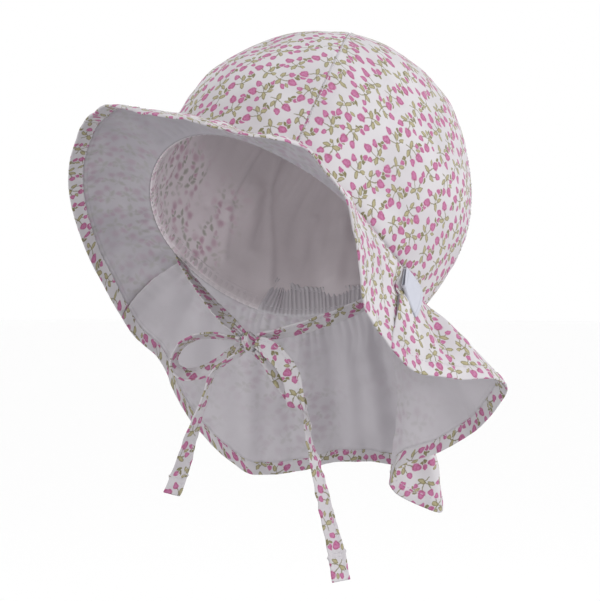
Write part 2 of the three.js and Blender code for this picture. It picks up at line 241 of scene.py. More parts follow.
def sprigs(f, x, y, look):
    # one sprig to a place, turned and flipped by chance: a rose, a bud, leaves and their stalks
    row = (y / look["sprigTall"]).whole()
    slid = x / look["sprigWide"] + row * look["rowShift"]
    column = slid.whole()
    first, second, third = chances(f, column, row, 3.0)
    left = (slid - column - 0.5) * look["sprigWide"] + (second - 0.5) * look["stray"][0]
    up = (y / look["sprigTall"] - row - 0.5) * look["sprigTall"] + (third - 0.5) * look["stray"][1]
    turn = first * (2 * np.pi)
    cos, sin = turn.cosine(), turn.sine()
    flip = f.node("ShaderNodeMath", {"operation": "SIGN"}, {0: second - 0.5})
    px = (left * cos + up * sin) * flip
    py = up * cos - left * sin
    lost = third.between(0.45, 0.5) * 4  # half the sprigs have no late bud
    rose = oval(px, py, (1.5, 3.7), (1.9, 2.3), 14, 0.32)
    bud = oval(px, py, (-3.5, 2.6), (1.4, 1.85), -38, 0.36)
    late = oval(px, py, (4.9, -0.6), (1.1, 1.5), 70, 0.36) + lost
    petal = oval(px, py, (1.8, 4.2), (1.0, 1.35), 34, 0.3)
    cup = oval(px, py, (1.0, 1.65), (0.85, 0.6), 14)
    budCup = oval(px, py, (-2.6, 1.3), (0.6, 0.45), -38)
    low = leaf(px, py, (2.1, -3.2), (1.15, 2.4), 116)
    side = leaf(px, py, (-2.7, -2.0), (1.05, 2.2), -66)
    tip = leaf(px, py, (-1.6, -5.2), (0.95, 2.0), 24) + first.between(0.6, 0.65) * 4
    high = leaf(px, py, (3.7, 1.2), (0.8, 1.7), 52) + first.between(0.5, 0.45) * 4
    stem = stalk(px, py, (-1.1, -5.2), (1.0, 1.6), 0.8)
    arm = stalk(px, py, (-0.3, -2.1), (-3.0, 0.9), -0.5)
    twig = stalk(px, py, (0.2, -2.6), (4.1, -1.1), 0.4) + lost
    return {
        "roses": rose.least(bud).least(late),
        "leaves": low.least(side).least(tip).least(high),
        "stalks": stem.least(arm).least(twig),
        "cups": cup.least(budCup),
        "petals": petal,
    }


def fillers(f, x, y, look):
    # a loose bud with one leaf, where four sprigs leave room
    row = (y / look["sprigTall"] - 0.5).whole()
    slid = x / look["sprigWide"] + row * look["rowShift"] + (0.5 + look["rowShift"] / 2)
    column = slid.whole()
    left = (slid - column - 0.5) * look["sprigWide"]
    up = (y / look["sprigTall"] - 0.5 - row - 0.5) * look["sprigTall"]
    turn = chances(f, column, row, 11.0)[0] * (2 * np.pi)
    cos, sin = turn.cosine(), turn.sine()
    px, py = left * cos + up * sin, up * cos - left * sin
    bud = oval(px, py, (0.2, 1.4), (1.15, 1.5), 0, 0.34)
    blade = leaf(px, py, (0.8, -1.5), (0.8, 1.7), 28)
    small = leaf(px, py, (-1.2, -0.6), (0.7, 1.5), -40)
    stem = stalk(px, py, (0.1, -1.4), (0.2, 0.4), 0.0)
    return {"roses": bud, "leaves": blade.least(small), "stalks": stem}


def rosebuds(f, look, blur):
    # masks of the print over the cloth; blur is how far its edges run
    at, x, y = f.clothPlace()
    shake = f.node("ShaderNodeSeparateXYZ", {}, {0: f.noise(at, 0.55, 2.0, 1)})
    wx = (x + (shake.output("X") - 0.5) * (2 * look["wobble"])) * (1 / look["size"])
    wy = (y + (shake.output("Y") - 0.5) * (2 * look["wobble"])) * (1 / look["size"])
    big, small = sprigs(f, wx, wy, look), fillers(f, wx, wy, look)
    free = big["roses"].least(big["leaves"]).between(1.15, 1.35)
    outer, inner = 1 + blur, 1 - blur
    stalkOuter, stalkInner = 0.34 + 0.4 * blur, 0.14  # millimetres from the stalk's middle line
    rose = big["roses"].between(outer, inner)
    loose = small["roses"].between(outer, inner) * free
    green = big["leaves"].between(outer, inner)
    looseGreen = small["leaves"].between(outer, inner) * free
    thread = big["stalks"].between(stalkOuter, stalkInner)
    looseThread = small["stalks"].between(stalkOuter, stalkInner) * free
    return {
        "rose": rose.most(loose),
        "green": green.most(looseGreen),
        "thread": thread.most(looseThread),
        "cup": big["cups"].between(1.1, 0.7),
        "roseRim": big["roses"].between(0.3, 1.0) * rose * 0.7 + loose * 0.4,
        "petal": abs(big["petals"] - 0.9).between(0.3, 0.1) * rose * 0.5,
        "leafRim": big["leaves"].between(0.35, 0.95),
        "at": at,
        "x": x,
        "y": y,
    }


def printedCotton(look):
    f = Finish("printedCotton")
    mask = rosebuds(f, look, 0.16)
    blotch = f.noise(mask["at"], 0.9, 3.0)
    cloud = f.noise(mask["at"], 0.035, 2.0)
    ground = f.mix(cloud.between(0.3, 0.75), look["ground"], look["groundShade"])
    deep = (mask["roseRim"] * 0.8 + mask["petal"] * 0.55 + blotch * 1.7 - 0.75).most(0.0).least(1.0)
    petals = f.mix(deep, look["budLight"], look["budDark"])
    petals = f.mix(mask["cup"] * 0.6, petals, look["budBase"])
    aged = (mask["leafRim"] * 0.85 + blotch * 0.9 - 0.45).most(0.0).least(1.0)
    leaves = f.mix(aged, look["leafLight"], look["leafDark"])
    colour = f.mix(mask["thread"] * 0.8, ground, look["stalk"])
    colour = f.mix(mask["green"] * 0.95, colour, leaves)
    colour = f.mix(mask["rose"] * 0.96, colour, petals)
    return f.cover(colour, f.clothBump(mask, look["pitch"]), look)


wrongSideShaded = {
    # painted shade: the ground is set darker than the right side's for the shade under the brim
    "ground": tint(185, 181, 187),
    "groundShade": tint(176, 172, 179),
    "ghostRose": tint(172, 151, 165),
    "ghostGreen": tint(164, 162, 158),
    "ghost": 0.7,  # how much of the print shows through, and how patchily
    "patches": (0.25, 0.65),
    "pitch": 0.42,
    "roughness": 0.92,
    "sheen": 0.1,
    "gloss": 0.18,
}


def clothFromBehind(look):
    # the print shows through the cloth, pale and with soft edges
    f = Finish("clothFromBehind")
    mask = rosebuds(f, {**cotton, **look}, 0.75)
    cloud = f.noise(mask["at"], 0.03, 2.0)
    patch = f.noise(mask["at"], 0.017, 2.0).between(*look["patches"]) * look["ghost"]
    ground = f.mix(cloud.between(0.3, 0.75), look["ground"], look["groundShade"])
    colour = f.mix(mask["green"].most(mask["thread"] * 0.5) * patch, ground, look["ghostGreen"])
    colour = f.mix(mask["rose"] * patch, colour, look["ghostRose"])
    return f.cover(colour, f.clothBump(mask, look["pitch"]), look)


lawn = {
    "ground": tint(222, 215, 218),
    "groundShade": tint(211, 204, 207),
    "thin": tint(250, 242, 246),  # painted light: lighter where light comes through the crown, with the crown's print
    # the crown's print seen through the lining: painted light
    "ghostRose": tint(214, 182, 198),
    "ghostGreen": tint(192, 189, 182),
    "throughLightFrom": (-26, -4),  # millimetres round from the right ear, and up from the seam
    "throughLightTo": (84, 60),
    "throughLightUp": (64, 36),
    "pitch": 0.36,
    "roughness": 0.9,
    "sheen": 0.1,
    "gloss": 0.2,
}


def plainLawn(name, look):
    f = Finish(name)
    mask = rosebuds(f, {**cotton, **look}, 0.75)
    at, x, y = mask["at"], mask["x"], mask["y"]
    cloud = f.noise(at, 0.03, 3.0)
    # painted light: the lining is lighter where light comes through the crown, and the crown's print shows
    # faintly there
    thin = x.between(*look["throughLightFrom"]) * x.between(*look["throughLightTo"]) * y.between(*look["throughLightUp"])
    ghost = thin * f.noise(at, 0.05, 2.0).between(0.25, 0.6)
    slub = f.noise(f.node("ShaderNodeCombineXYZ", {}, {0: x * 0.15, 1: y * 2.2, 2: 0.0}), 1.0, 2.0)
    shade = (cloud.between(0.3, 0.75) * 0.7 + slub * 0.3).least(1.0)
    colour = f.mix(shade, look["ground"], look["groundShade"])
    colour = f.mix(thin, colour, look["thin"])
    colour = f.mix(mask["green"] * ghost, colour, look["ghostGreen"])
    colour = f.mix(mask["rose"] * ghost, colour, look["ghostRose"])
    return f.cover(colour, f.clothBump(mask, look["pitch"], 0.14, 0.4), look)


satin = {
    "ground": tint(190, 192, 203),
    "groundShade": tint(172, 174, 187),
    "pitch": 0.28,
    "edgeAt": 7.7,  # the woven edge, from the ribbon's middle
    "roughness": 0.55,
    "sheen": 0.05,
    "gloss": 0.4,
}


def satinRibbon(look):
    f = Finish("satinRibbon")
    at, x, y = f.clothPlace()
    lines = (y * (2 * np.pi / look["pitch"])).sine() * 0.5 + 0.5
    edge = abs(abs(x) - look["edgeAt"]).between(0.5, 0.1)
    shade = (edge * 0.7 + f.noise(at, 0.3, 2.0) * 0.4).least(1.0)
    colour = f.mix(shade, look["ground"], look["groundShade"])
    return f.cover(colour, f.bump(lines * 0.04 + edge * 0.12, 0.6, 0.0005), look)


sewing = {
    "ground": tint(214, 211, 215),
    "groundShade": tint(190, 186, 192),
    "twist": 0.35,
    "roughness": 0.7,
    "sheen": 0.1,
    "gloss": 0.3,
}


def sewingThread(look):
    f = Finish("sewingThread")
    at, x, y = f.clothPlace()
    twist = ((x + y) * (2 * np.pi / look["twist"])).sine() * 0.5 + 0.5
    colour = f.mix(twist * 0.6, look["ground"], look["groundShade"])
    return f.cover(colour, f.bump(twist, 0.4, 0.0002), look)


printed = printedCotton(cotton)
behindShaded = clothFromBehind(wrongSideShaded)
# the same wrong side set lighter for the inside of the flap: painted light
behindFlapPaintedLight = clothFromBehind({
    **wrongSideShaded,
    "ground": tint(201, 197, 202),
    "groundShade": tint(193, 189, 194),
    "patches": (0.35, 0.7),
    "ghost": 0.4,
})
plain = plainLawn("plainLawn", lawn)
# the lining's lawn made darker for the casing: painted shade
elasticPaintedShade = plainLawn("elasticLawnPaintedShade", {
    **lawn,
    "ground": tint(202, 199, 203),
    "groundShade": tint(192, 188, 193),
})
ribbonWhite = satinRibbon(satin)
thread = sewingThread(sewing)
print("finishes made")


# The hat's form, with the same values as its solids
form = {
    "tilt": 37,  # how far the crown leans back
    "height": 114,  # of the crown above the head opening
    "tuck": 0.93,
    "swell": 0.16,
    "lean": 6.5,
    "leanCurve": 0.85,
    "meet": 0.22,  # where the seams meet, in front of the middle
    "seams": (-38, 38, 132, 228, 322),
    "leftEar": 101,
    "rightEar": 265,
    "casing": (132, 228),
    "hem": 7.4,
    "allowance": 7,  # turned in at each seam
    "seamDeep": 0.55,
    "seamReach": 1.5,
    "settled": (  # where the crown has sunk, or swells if under 0: angle, share up, depth, reach
        (354, 0.47, 1.5, 26),
        (101, 0.62, -1.4, 24),
        (118, 0.47, 1.5, 24),
        (134, 0.2, -0.9, 22),
        (337, 0.22, -1.0, 20),
        (20, 0.3, 0.7, 14),
        (70, 0.45, 0.6, 18),
    ),
}

# at, radius, dip of the head opening
openingRows = [
    (0, 77, 0),
    (45, 75, 5.5),
    (90, 71, 11),
    (135, 75, 8),
    (180, 72, -5.5),
    (225, 75, 10),
    (270, 76, 11.5),
    (315, 75, 5.5),
]

# at, bearing, reach, height, bulge of brim and flap
edgeRows = [
    (0, 0, 110, 54.5, 4),
    (22, 22, 119, 45.6, 3),
    (43, 43, 118, 36, 2),
    (60, 54, 112, 20, 2),
    (75, 60, 106, -7, 2),
    (90, 63.5, 101, -37, 2),
    (98, 69.5, 95.5, -50, 1),
    (104, 78, 93.5, -63, 0.5),
    (110, 88, 92, -68.5, 0.5),
    (120, 103, 101, -70, 0.5),
    (130, 122, 108.4, -75.8, 1),
    (140, 139, 96.7, -97.2, 2),
    (148, 151, 81, -111, 0),
    (155, 162, 66.7, -118, 0),
    (160, 168.8, 67.5, -127.4, 1),
    (161.5, 170, 70, -134, 1.5),
    (163, 169.6, 82, -140.4, 2.5),
    (166, 168, 96, -145.4, 5),
    (172, 181, 112, -140, 6),
    (180, 191, 108, -123.9, 3),
    (200, 209.5, 107, -122.4, 3),
    (212, 220, 107, -127.6, 3),
    (223, 231, 106, -130, 3),
    (233, 239, 107, -125, 3),
    (244, 250, 111.8, -105, 3),
    (249, 256, 112.4, -88, 3),
    (256, 262, 114, -65, 3),
    (260, 269, 116, -54, 3),
    (265, 274.5, 115.2, -43, 4),
    (274, 282.5, 114, -26.5, 4),
    (287, 289.4, 114, -12.6, 4),
    (300, 302, 113.3, 13.8, 4),
    (315, 314, 110, 33.5, 4),
    (330, 329.5, 104.8, 51, 4),
    (345, 345.5, 105, 56.9, 4),
]


def curve(t, first, last, rise, fall):
    # from first to last while t goes from 0 to 1, with these slopes at either end
    ease = 3 * t**2 - 2 * t**3
    return (1 - ease) * first + ease * last + (t**3 - 2 * t**2 + t) * rise + (t**3 - t**2) * fall


def valueAt(rows, at, column, lap=0.0):
    # a smooth value between the rows of a closed table; lap is what it gains in one turn
    table = np.array(rows, float)
    count = len(table)
    around = np.mod(at, 360)
    last = np.searchsorted(table[:, 0], around, side="right") - 1

    def knot(step):
        laps, row = np.divmod(last + step, count)
        return table[row, 0] + 360 * laps, table[row, column] + lap * laps

    (a0, v0), (a1, v1), (a2, v2), (a3, v3) = (knot(step) for step in (-1, 0, 1, 2))
    rise = (v2 - v0) / (a2 - a0) * (a2 - a1)
    fall = (v3 - v1) / (a3 - a1) * (a2 - a1)
    return curve((around - a1) / (a2 - a1), v1, v2, rise, fall)


def inCrown(x, forward, up):
    cos, sin = np.cos(np.radians(form["tilt"])), np.sin(np.radians(form["tilt"]))
    return np.stack([x, up * sin - forward * cos, forward * sin + up * cos], -1)


def opening(at):
    radius, turn = valueAt(openingRows, at, 1), np.radians(at)
    return inCrown(radius * np.sin(turn), radius * np.cos(turn), -valueAt(openingRows, at, 2))


def dome(at, share):
    radius, turn = valueAt(openingRows, at, 1), np.radians(at)
    rise = share * np.pi / 2
    out = radius * np.cos(rise) ** form["tuck"] * (1 + form["swell"] * np.sin(2 * rise))
    back = form["lean"] * np.sin(rise) ** form["leanCurve"]
    up = form["height"] * np.sin(rise) - valueAt(openingRows, at, 2) * (1 - share) ** 2
    return inCrown(out * np.sin(turn), out * np.cos(turn) - back, up)


def crown(at, share):
    # the same dome, by seam angle and share of the way to where the seams meet
    turn = np.radians(at)
    forward = (1 - share) * np.cos(turn) + share * form["meet"]
    left = (1 - share) * np.sin(turn)
    return dome(np.degrees(np.arctan2(left, forward)), np.maximum(1 - np.hypot(left, forward), 0))


def skirt(at, share):
    # brim and flap, by seam angle and share of the way from the head opening to the edge
    turn = np.radians(valueAt(edgeRows, at, 1, 360))
    reach, height = valueAt(edgeRows, at, 2), valueAt(edgeRows, at, 3)
    start = opening(at)
    way = np.stack([reach * np.sin(turn), -reach * np.cos(turn), height], -1) - start
    level = way * (1, 1, 0)
    level /= np.linalg.norm(level, axis=-1, keepdims=True)
    upward = (0, 0, 1) * (way * level).sum(-1, keepdims=True) - level * way[..., 2:]
    upward /= np.linalg.norm(upward, axis=-1, keepdims=True)
    bulge = valueAt(edgeRows, at, 4) * 4 * share * (1 - share)
    return start + way * share[..., None] + upward * bulge[..., None]


def outwards(surface, side, at, share):
    along = surface(at + 0.2, share) - surface(at - 0.2, share)
    up = surface(at, np.minimum(share + 0.002, 1)) - surface(at, np.maximum(share - 0.002, 0))
    normal = np.cross(along, up)
    return side * normal / np.maximum(np.linalg.norm(normal, axis=-1, keepdims=True), 1e-9)


def seamTuck(at, away):
    # from the head opening into the corner between crown and brim, where both are sewn
    share = 0 * at
    out = outwards(dome, 1, at, share + 0.004) + outwards(skirt, -1, at, share + 0.01)
    return -form["seamDeep"] * out * near(away, form["seamReach"])[..., None]


def facing(points, towards=None, ring=False):
    # normals of a grid of points after its folds are in, turned to one side where that is given
    if ring:
        along = np.roll(points, -1, 0) - np.roll(points, 1, 0)
    else:
        along = np.gradient(points, axis=0)
    normal = np.cross(along, np.gradient(points, axis=1))
    normal = normal / np.maximum(np.linalg.norm(normal, axis=-1, keepdims=True), 1e-9)
    return normal if towards is None else normal * np.sign((normal * towards).sum(-1, keepdims=True))


def runAlong(points, axis):
    # millimetres from the start of each line of a grid
    step = np.linalg.norm(np.diff(points, axis=axis), axis=-1)
    start = np.zeros_like(np.take(step, [0], axis))
    return np.concatenate([start, np.cumsum(step, axis)], axis)


def skirtLength(at, steps=60):
    # millimetres from the head opening to the edge, at each angle of one column
    share = np.linspace(0, 1, steps)[None, :] + 0 * at
    return runAlong(skirt(at + 0 * share, share), 1)[:, -1:]


def thirdCorner(first, second, fromFirst, fromSecond, side):
    # the corner of a triangle, by its distances from the two that are known
    way = second - first
    long = np.hypot(*way)
    along = (fromFirst**2 - fromSecond**2 + long**2) / (2 * long)
    off = np.sqrt(max(fromFirst**2 - along**2, 0.0))
    return first + way * along / long + side * off * np.array([-way[1], way[0]]) / long


def laidFlat(starts, ends):
    # the strip between two edges on a table, triangle by triangle, in its true lengths
    def apart(a, b):
        return float(np.linalg.norm(a - b))

    flat = [(np.zeros(2), np.array([0.0, apart(starts[0], ends[0])]))]
    for i in range(1, len(starts)):
        low, high = flat[-1]
        slant = apart(ends[i - 1], starts[i])
        nextLow = thirdCorner(low, high, apart(starts[i - 1], starts[i]), slant, -1)
        nextHigh = thirdCorner(high, nextLow, apart(ends[i - 1], ends[i]), apart(starts[i], ends[i]), 1)
        flat.append((nextLow, nextHigh))
    flat = np.array(flat)
    way = flat[:, 1] - flat[:, 0]
    return flat[:, 0], way / np.linalg.norm(way, axis=-1, keepdims=True)


def ripple(x, y, size, seed, waves=7):
    # a soft uneven field between about -1 and 1, with swells about size mm long
    dice = np.random.default_rng(seed)
    total = 0
    for _ in range(waves):
        turn = dice.uniform(0, 2 * np.pi)
        length = size * dice.uniform(0.7, 1.7)
        phase = dice.uniform(0, 2 * np.pi)
        total += np.sin((x * np.cos(turn) + y * np.sin(turn)) * 2 * np.pi / length + phase)
    return total / np.sqrt(waves)


def foldsDown(run, out, size, seed, waves=6):
    # uneven folds from the seam to the edge, about size mm apart, that wander a little on the way
    dice = np.random.default_rng(seed)
    total = 0
    for _ in range(waves):
        length = size * dice.uniform(0.7, 1.9)
        phase = dice.uniform(0, 2 * np.pi)
        drift = dice.uniform(-0.4, 0.4)
        total += np.sin(2 * np.pi * run / length + phase + drift * out / 22)
    return total / np.sqrt(waves)


def settled(points):
    # how far in from its plain form the crown has sunk
    depth = 0
    for at, share, sunk, reach in form["settled"]:
        middle = dome(np.array(float(at)), np.array(float(share)))
        depth += sunk * near(np.linalg.norm(points - middle, axis=-1), reach)
    return depth


def fromLine(x, y, corners):
    # distance from a line through the corners
    best = np.full(np.broadcast(x, y).shape, 1e9)
    for (ax, ay), (bx, by) in zip(corners[:-1], corners[1:]):
        way = np.array([bx - ax, by - ay], float)
        share = np.clip(((x - ax) * way[0] + (y - ay) * way[1]) / (way @ way), 0, 1)
        best = np.minimum(best, np.hypot(x - ax - share * way[0], y - ay - share * way[1]))
    return best


def near(distance, reach):
    # 1 on a line and fading within reach of it
    return np.exp(-((distance / reach) ** 2))


def easing(x, low, high):
    t = np.clip((x - low) / (high - low), 0, 1)
    return t * t * (3 - 2 * t)


def plateau(x, start, full, fade, gone):
    # 1 from full to fade, and 0 before start and after gone
    return easing(x, start, full) * (1 - easing(x, fade, gone))


def loft(name, loops, coords, inks, finishes, caps=None, ring=False):
    # a closed skin through closed cross-sections; inks gives each strip of it one of the finishes
    count, size = loops.shape[:2]
    verts = loops.reshape(-1, 3)
    last = count if ring else count - 1
    i, k = np.meshgrid(np.arange(last), np.arange(size), indexing="ij")
    j, m = (i + 1) % count, (k + 1) % size
    quads = np.stack([i * size + k, j * size + k, j * size + m, i * size + m], -1).reshape(-1, 4)
    faces = [list(map(int, q)) for q in quads]
    ink = list(np.broadcast_to(np.array(inks), (last, size)).reshape(-1))
    for end, flipped in ((0, False), (count - 1, True)) if caps and not ring else ():
        for cap in caps:
            ordered = cap[::-1] if flipped else cap
            faces.append([end * size + n for n in ordered])
            ink.append(inks[cap[0]])
    fans = np.array([[face[0], face[n], face[n + 1]] for face in faces for n in range(1, len(face) - 1)])
    a, b, c = (verts[fans[:, n]] - verts.mean(0) for n in range(3))
    if (a * np.cross(b, c)).sum() < 0:
        faces = [face[::-1] for face in faces]
    return skin(name, verts, faces, coords.reshape(-1, 2), ink, finishes)


def placed(name, data):
    thing = bpy.data.objects.new(name, data)
    bpy.context.collection.objects.link(thing)
    return thing


def skin(name, verts, faces, coords, ink, finishes):
    mesh = bpy.data.meshes.new(name)
    mesh.from_pydata((verts * mm).tolist(), [], faces)
    layer = mesh.uv_layers.new(name="cloth")
    corner = np.empty(len(mesh.loops), int)
    mesh.loops.foreach_get("vertex_index", corner)
    layer.data.foreach_set("uv", coords[corner].astype(float).reshape(-1))
    for finish in finishes:
        mesh.materials.append(finish)
    mesh.polygons.foreach_set("material_index", np.array(ink, int))
    mesh.polygons.foreach_set("use_smooth", [True] * len(mesh.polygons))
    mesh.update()
    return placed(name, mesh)


def rolled(start, end, row, count):
    # points of a half round from one face to the other, past the edge of the cloth
    a, b = start[:, row], end[:, row]
    inner = start[:, row - 1] if row else start[:, 1]
    way = a - inner
    half = (b - a) / 2
    radius = np.linalg.norm(half, axis=-1, keepdims=True)
    way = way / np.maximum(np.linalg.norm(way, axis=-1, keepdims=True), 1e-9)
    turns = [np.pi * (n + 1) / (count + 1) for n in range(count)]
    points = [(a + b) / 2 - half * np.cos(t) + way * radius * np.sin(t) for t in turns]
    return np.stack(points, 1) if points else np.zeros((len(start), 0, 3))


def capPairs(rows, size, closeEnd):
    # faces that close the cut ends of a two-faced cloth
    under = [rows + closeEnd + rows - 1 - k for k in range(rows)]
    caps = [[k, k + 1, under[k + 1], under[k]] for k in range(rows - 1)]
    caps.append([rows - 1, *range(rows, rows + closeEnd), under[rows - 1]])
    if size > 2 * rows + closeEnd:
        caps.append([0, under[0], *range(2 * rows + closeEnd, size)])
    return [cap for cap in caps if len(cap) > 2]


def clothPiece(name, top, under, coords, finishes, ring=False, closeStart=0, closeEnd=0):
    # a cloth from its upper and under grid, with a rolled edge of so many points at either end;
    # the two finishes are for the right side and the wrong side
    rows = top.shape[1]
    endEdge, startEdge = rolled(top, under, -1, closeEnd), rolled(under, top, 0, closeStart)
    loops = np.concatenate([top, endEdge, under[:, ::-1], startEdge], 1)
    endCoords = np.repeat(coords[:, -1:], closeEnd, 1)
    startCoords = np.repeat(coords[:, :1], closeStart, 1)
    around = np.concatenate([coords, endCoords, coords[:, ::-1], startCoords], 1)
    inks = [0] * (rows + closeEnd) + [1] * (rows + closeStart)
    return loft(name, loops, around, inks, finishes, capPairs(rows, loops.shape[1], closeEnd), ring)


def paneArea(points, ring=False):
    # square metres of a grid of points in millimetres
    if ring:
        points = np.concatenate([points, points[:1]])
    a, b = points[1:, :-1] - points[:-1, :-1], points[:-1, 1:] - points[:-1, :-1]
    return float(np.linalg.norm(np.cross(a, b), axis=-1).sum()) * mm * mm


def declare(piece, node, flat, area=None):
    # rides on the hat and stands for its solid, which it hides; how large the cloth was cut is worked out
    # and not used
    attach(piece, "root")
    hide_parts(node)
    wide, long = float(flat[0]) * mm, float(flat[1]) * mm
    if area is not None:
        area = min(area, wide * long)


stitching = {"verts": [], "faces": [], "coords": []}
seamStitch = {"pitch": 2.8, "long": 1.9, "thick": 0.2, "sides": 5}
crownStitch = {"pitch": 2.1, "long": 1.75, "thick": 0.26, "sides": 6}
# the rounds of one stitch: share of its length, share of its thickness, height over the cloth
stitchRounds = np.array([
    (0, 0.35, -0.12),
    (0.14, 0.85, 0.02),
    (0.5, 1, 0.08),
    (0.86, 0.85, 0.02),
    (1, 0.35, -0.12),
])


def sampled(line, run, places):
    return np.stack([np.interp(places, run, line[:, n]) for n in range(3)], -1)


def stitchLine(points, normals, look=seamStitch):
    # short stitches along a line on the cloth, half sunk into it
    run = np.concatenate([[0], np.cumsum(np.linalg.norm(np.diff(points, axis=0), axis=-1))])
    sides, rounds = look["sides"], range(len(stitchRounds))
    turns = np.arange(sides) * 2 * np.pi / sides
    fat, sink = stitchRounds[:, 1] * look["thick"], stitchRounds[:, 2]
    for start in np.arange(look["pitch"] / 2, run[-1] - look["long"], look["pitch"]):
        places = stitchRounds[:, 0] * look["long"] + start
        middle, normal = sampled(points, run, places), sampled(normals, run, places)
        ahead = middle[-1] - middle[0]
        ahead /= max(np.linalg.norm(ahead), 1e-9)
        normal -= (normal @ ahead)[:, None] * ahead
        normal /= np.maximum(np.linalg.norm(normal, axis=-1, keepdims=True), 1e-9)
        across = np.cross(ahead, normal)
        base = sum(len(v) for v in stitching["verts"])
        verts = [
            middle[k] + normal[k] * sink[k] + fat[k] * (np.cos(t) * across[k] + np.sin(t) * normal[k])
            for k in rounds
            for t in turns
        ]
        stitching["verts"].append(np.array(verts))
        coords = [(places[k], np.degrees(t) / 90) for k in rounds for t in turns]
        stitching["coords"].append(np.array(coords))
        for k in rounds[:-1]:
            for n in range(sides):
                m = (n + 1) % sides
                low, high = base + k * sides, base + (k + 1) * sides
                stitching["faces"].append([low + n, low + m, high + m, high + n])
        stitching["faces"].append([base + n for n in range(sides)][::-1])
        stitching["faces"].append([base + rounds[-1] * sides + n for n in range(sides)])


# crown: four gores, with their edges pressed down into the seams
gores = {
    "names": ("crownFront", "crownLeft", "crownBack", "crownRight"),
    "nodes": ("crown_panel_front", "crown_panel_left", "crown_panel_back", "crown_panel_right"),
    "across": 110,
    "up": 120,
    "top": 0.993,
    "thick": 0.6,
    "seamDip": 0.22,
    "seamRoll": 0.6,
    "seamWelt": 0.15,
    "weltAt": 1.3,
    "weltWide": 0.7,
    "pucker": 0.22,
    "puckerLong": 7.5,
    "puckerWide": 4,
    "swells": 0.75,
    "swellLong": 55,
    "crumple": 0.26,
    "crumpleLong": 16,
    "gathers": 0.7,
    "nape": (128, 140, 220, 232),  # the seam angles where the elastic gathers it
    "gatherWide": 4.6,
    "gatherLong": 9,
    "stitchIn": 0.75,
    "turns": (12, -8, 20, 171),  # the grain of the cloth in each gore, degrees
}


def turned(coords, degrees, shift):
    cos, sin = np.cos(np.radians(degrees)), np.sin(np.radians(degrees))
    x, y = coords[..., 0], coords[..., 1]
    return np.stack([x * cos - y * sin + shift[0], x * sin + y * cos + shift[1]], -1)


def makeGore(index, look):
    start, end = form["seams"][index], form["seams"][index + 1]
    at = np.linspace(start, end, look["across"])[:, None]
    share = np.linspace(0, look["top"], look["up"])[None, :]
    at, share = np.broadcast_arrays(at, share)
    base = crown(at, share)
    normal = outwards(crown, 1, at, share)
    across, rise = runAlong(base, 0), runAlong(base, 1)
    x = across - across[-1:] / 2
    edge = np.minimum(across, across[-1:] - across)
    swells = look["swells"] * ripple(x, rise, look["swellLong"], 40 + index)
    relief = swells * easing(edge, 0, 14) * easing(rise, 0, 12)
    crumple = look["crumple"] * ripple(x, rise, look["crumpleLong"], 50 + index)
    relief += crumple * easing(edge, 0, 5)
    wander = 1.4 * ripple(x * 0, rise, 30, 60 + index)
    wave = np.sin(2 * np.pi * rise / look["puckerLong"] + wander + index)
    relief += look["pucker"] * wave * np.exp(-edge / look["puckerWide"]) * easing(edge, 0, 1.6)
    dip = look["seamDip"] * near(edge, look["seamRoll"])
    welt = look["seamWelt"] * near(edge - look["weltAt"], look["weltWide"])
    relief = relief - dip + welt - settled(base)
    nape = plateau(at, *look["nape"])
    ringRun = np.radians(at) * 74  # the opening's mean radius, outside
    gather = np.cos(2 * np.pi * ringRun / look["gatherWide"] + 1.5 * ripple(ringRun, rise, 22, 71))
    fading = look["gathers"] * nape * np.exp(-rise / look["gatherLong"]) * easing(rise, 0, 2)
    relief += fading * gather
    top = base + normal * relief[..., None] + seamTuck(at[:, :1], rise)
    lift = facing(top, normal)
    under = top - lift * look["thick"]
    coords = turned(np.stack([x, rise], -1), look["turns"][index], (40 * index + 7, 23 * index))
    piece = clothPiece(look["names"][index], top, under, coords, [printed, behindShaded])
    beside = np.argmin(np.abs(across - look["stitchIn"]), axis=0)
    rows = np.arange(3, look["up"] - 6)
    stitchLine(top[beside[rows], rows], lift[beside[rows], rows], crownStitch)
    flat = (across[-1].max() + 2 * form["allowance"], rise.max() + 2 * form["allowance"])
    declare(piece, look["nodes"][index], flat, area=paneArea(base) * 1.08)


for index in range(4):
    makeGore(index, gores)
print("crown gores laid")


# lining: thin lawn that hangs a little loose inside the gores, in soft upright folds
lining = {
    "across": 350,
    "up": 110,
    "from": 95,  # its own seam, before the left ear
    "shares": (0.004, 0.985),  # where it starts and ends on the way up the crown
    "inside": 2.0,  # below the outside of the crown
    "thick": 0.35,
    "folds": 1.7,
    "foldCount": 10,
    "loose": (4, 30, 100, 165),  # how far up it hangs free
    "lean": 0.36,  # degrees round for each millimetre up, most at the nape
    "leanAt": 195,
    "leanWide": 50,
    "crumple": 0.3,
    "ridges": (  # seams and folds that stand up, by seam angle and height: points, height, width, softness
        (((228, 14), (233, 29), (237, 40), (244, 55), (251, 70), (256, 84)), 1.5, 1.7, 5.0),
        (((251, 16), (254, 25), (257, 36), (262, 50), (264, 64), (266, 80)), 1.6, 1.6, 5.0),
        (((268, 34), (265, 41), (261, 48)), -1.2, 1.6, 4.0),
        (((243, 30), (249, 46), (256, 62)), 2.2, 5.0, 10.0),
        (((196, 24), (204, 44), (214, 66)), 0.9, 2.2, 6.0),
        (((208, 24), (216, 44), (226, 64)), 0.8, 2.6, 6.0),
        (((180, 24), (190, 48)), 0.8, 2.4, 6.0),
        (((300, 8), (302, 30), (306, 60)), 0.7, 2.2, 6.0),
        (((286, 8), (287, 28), (288, 52)), 0.6, 2.0, 6.0),
    ),
}


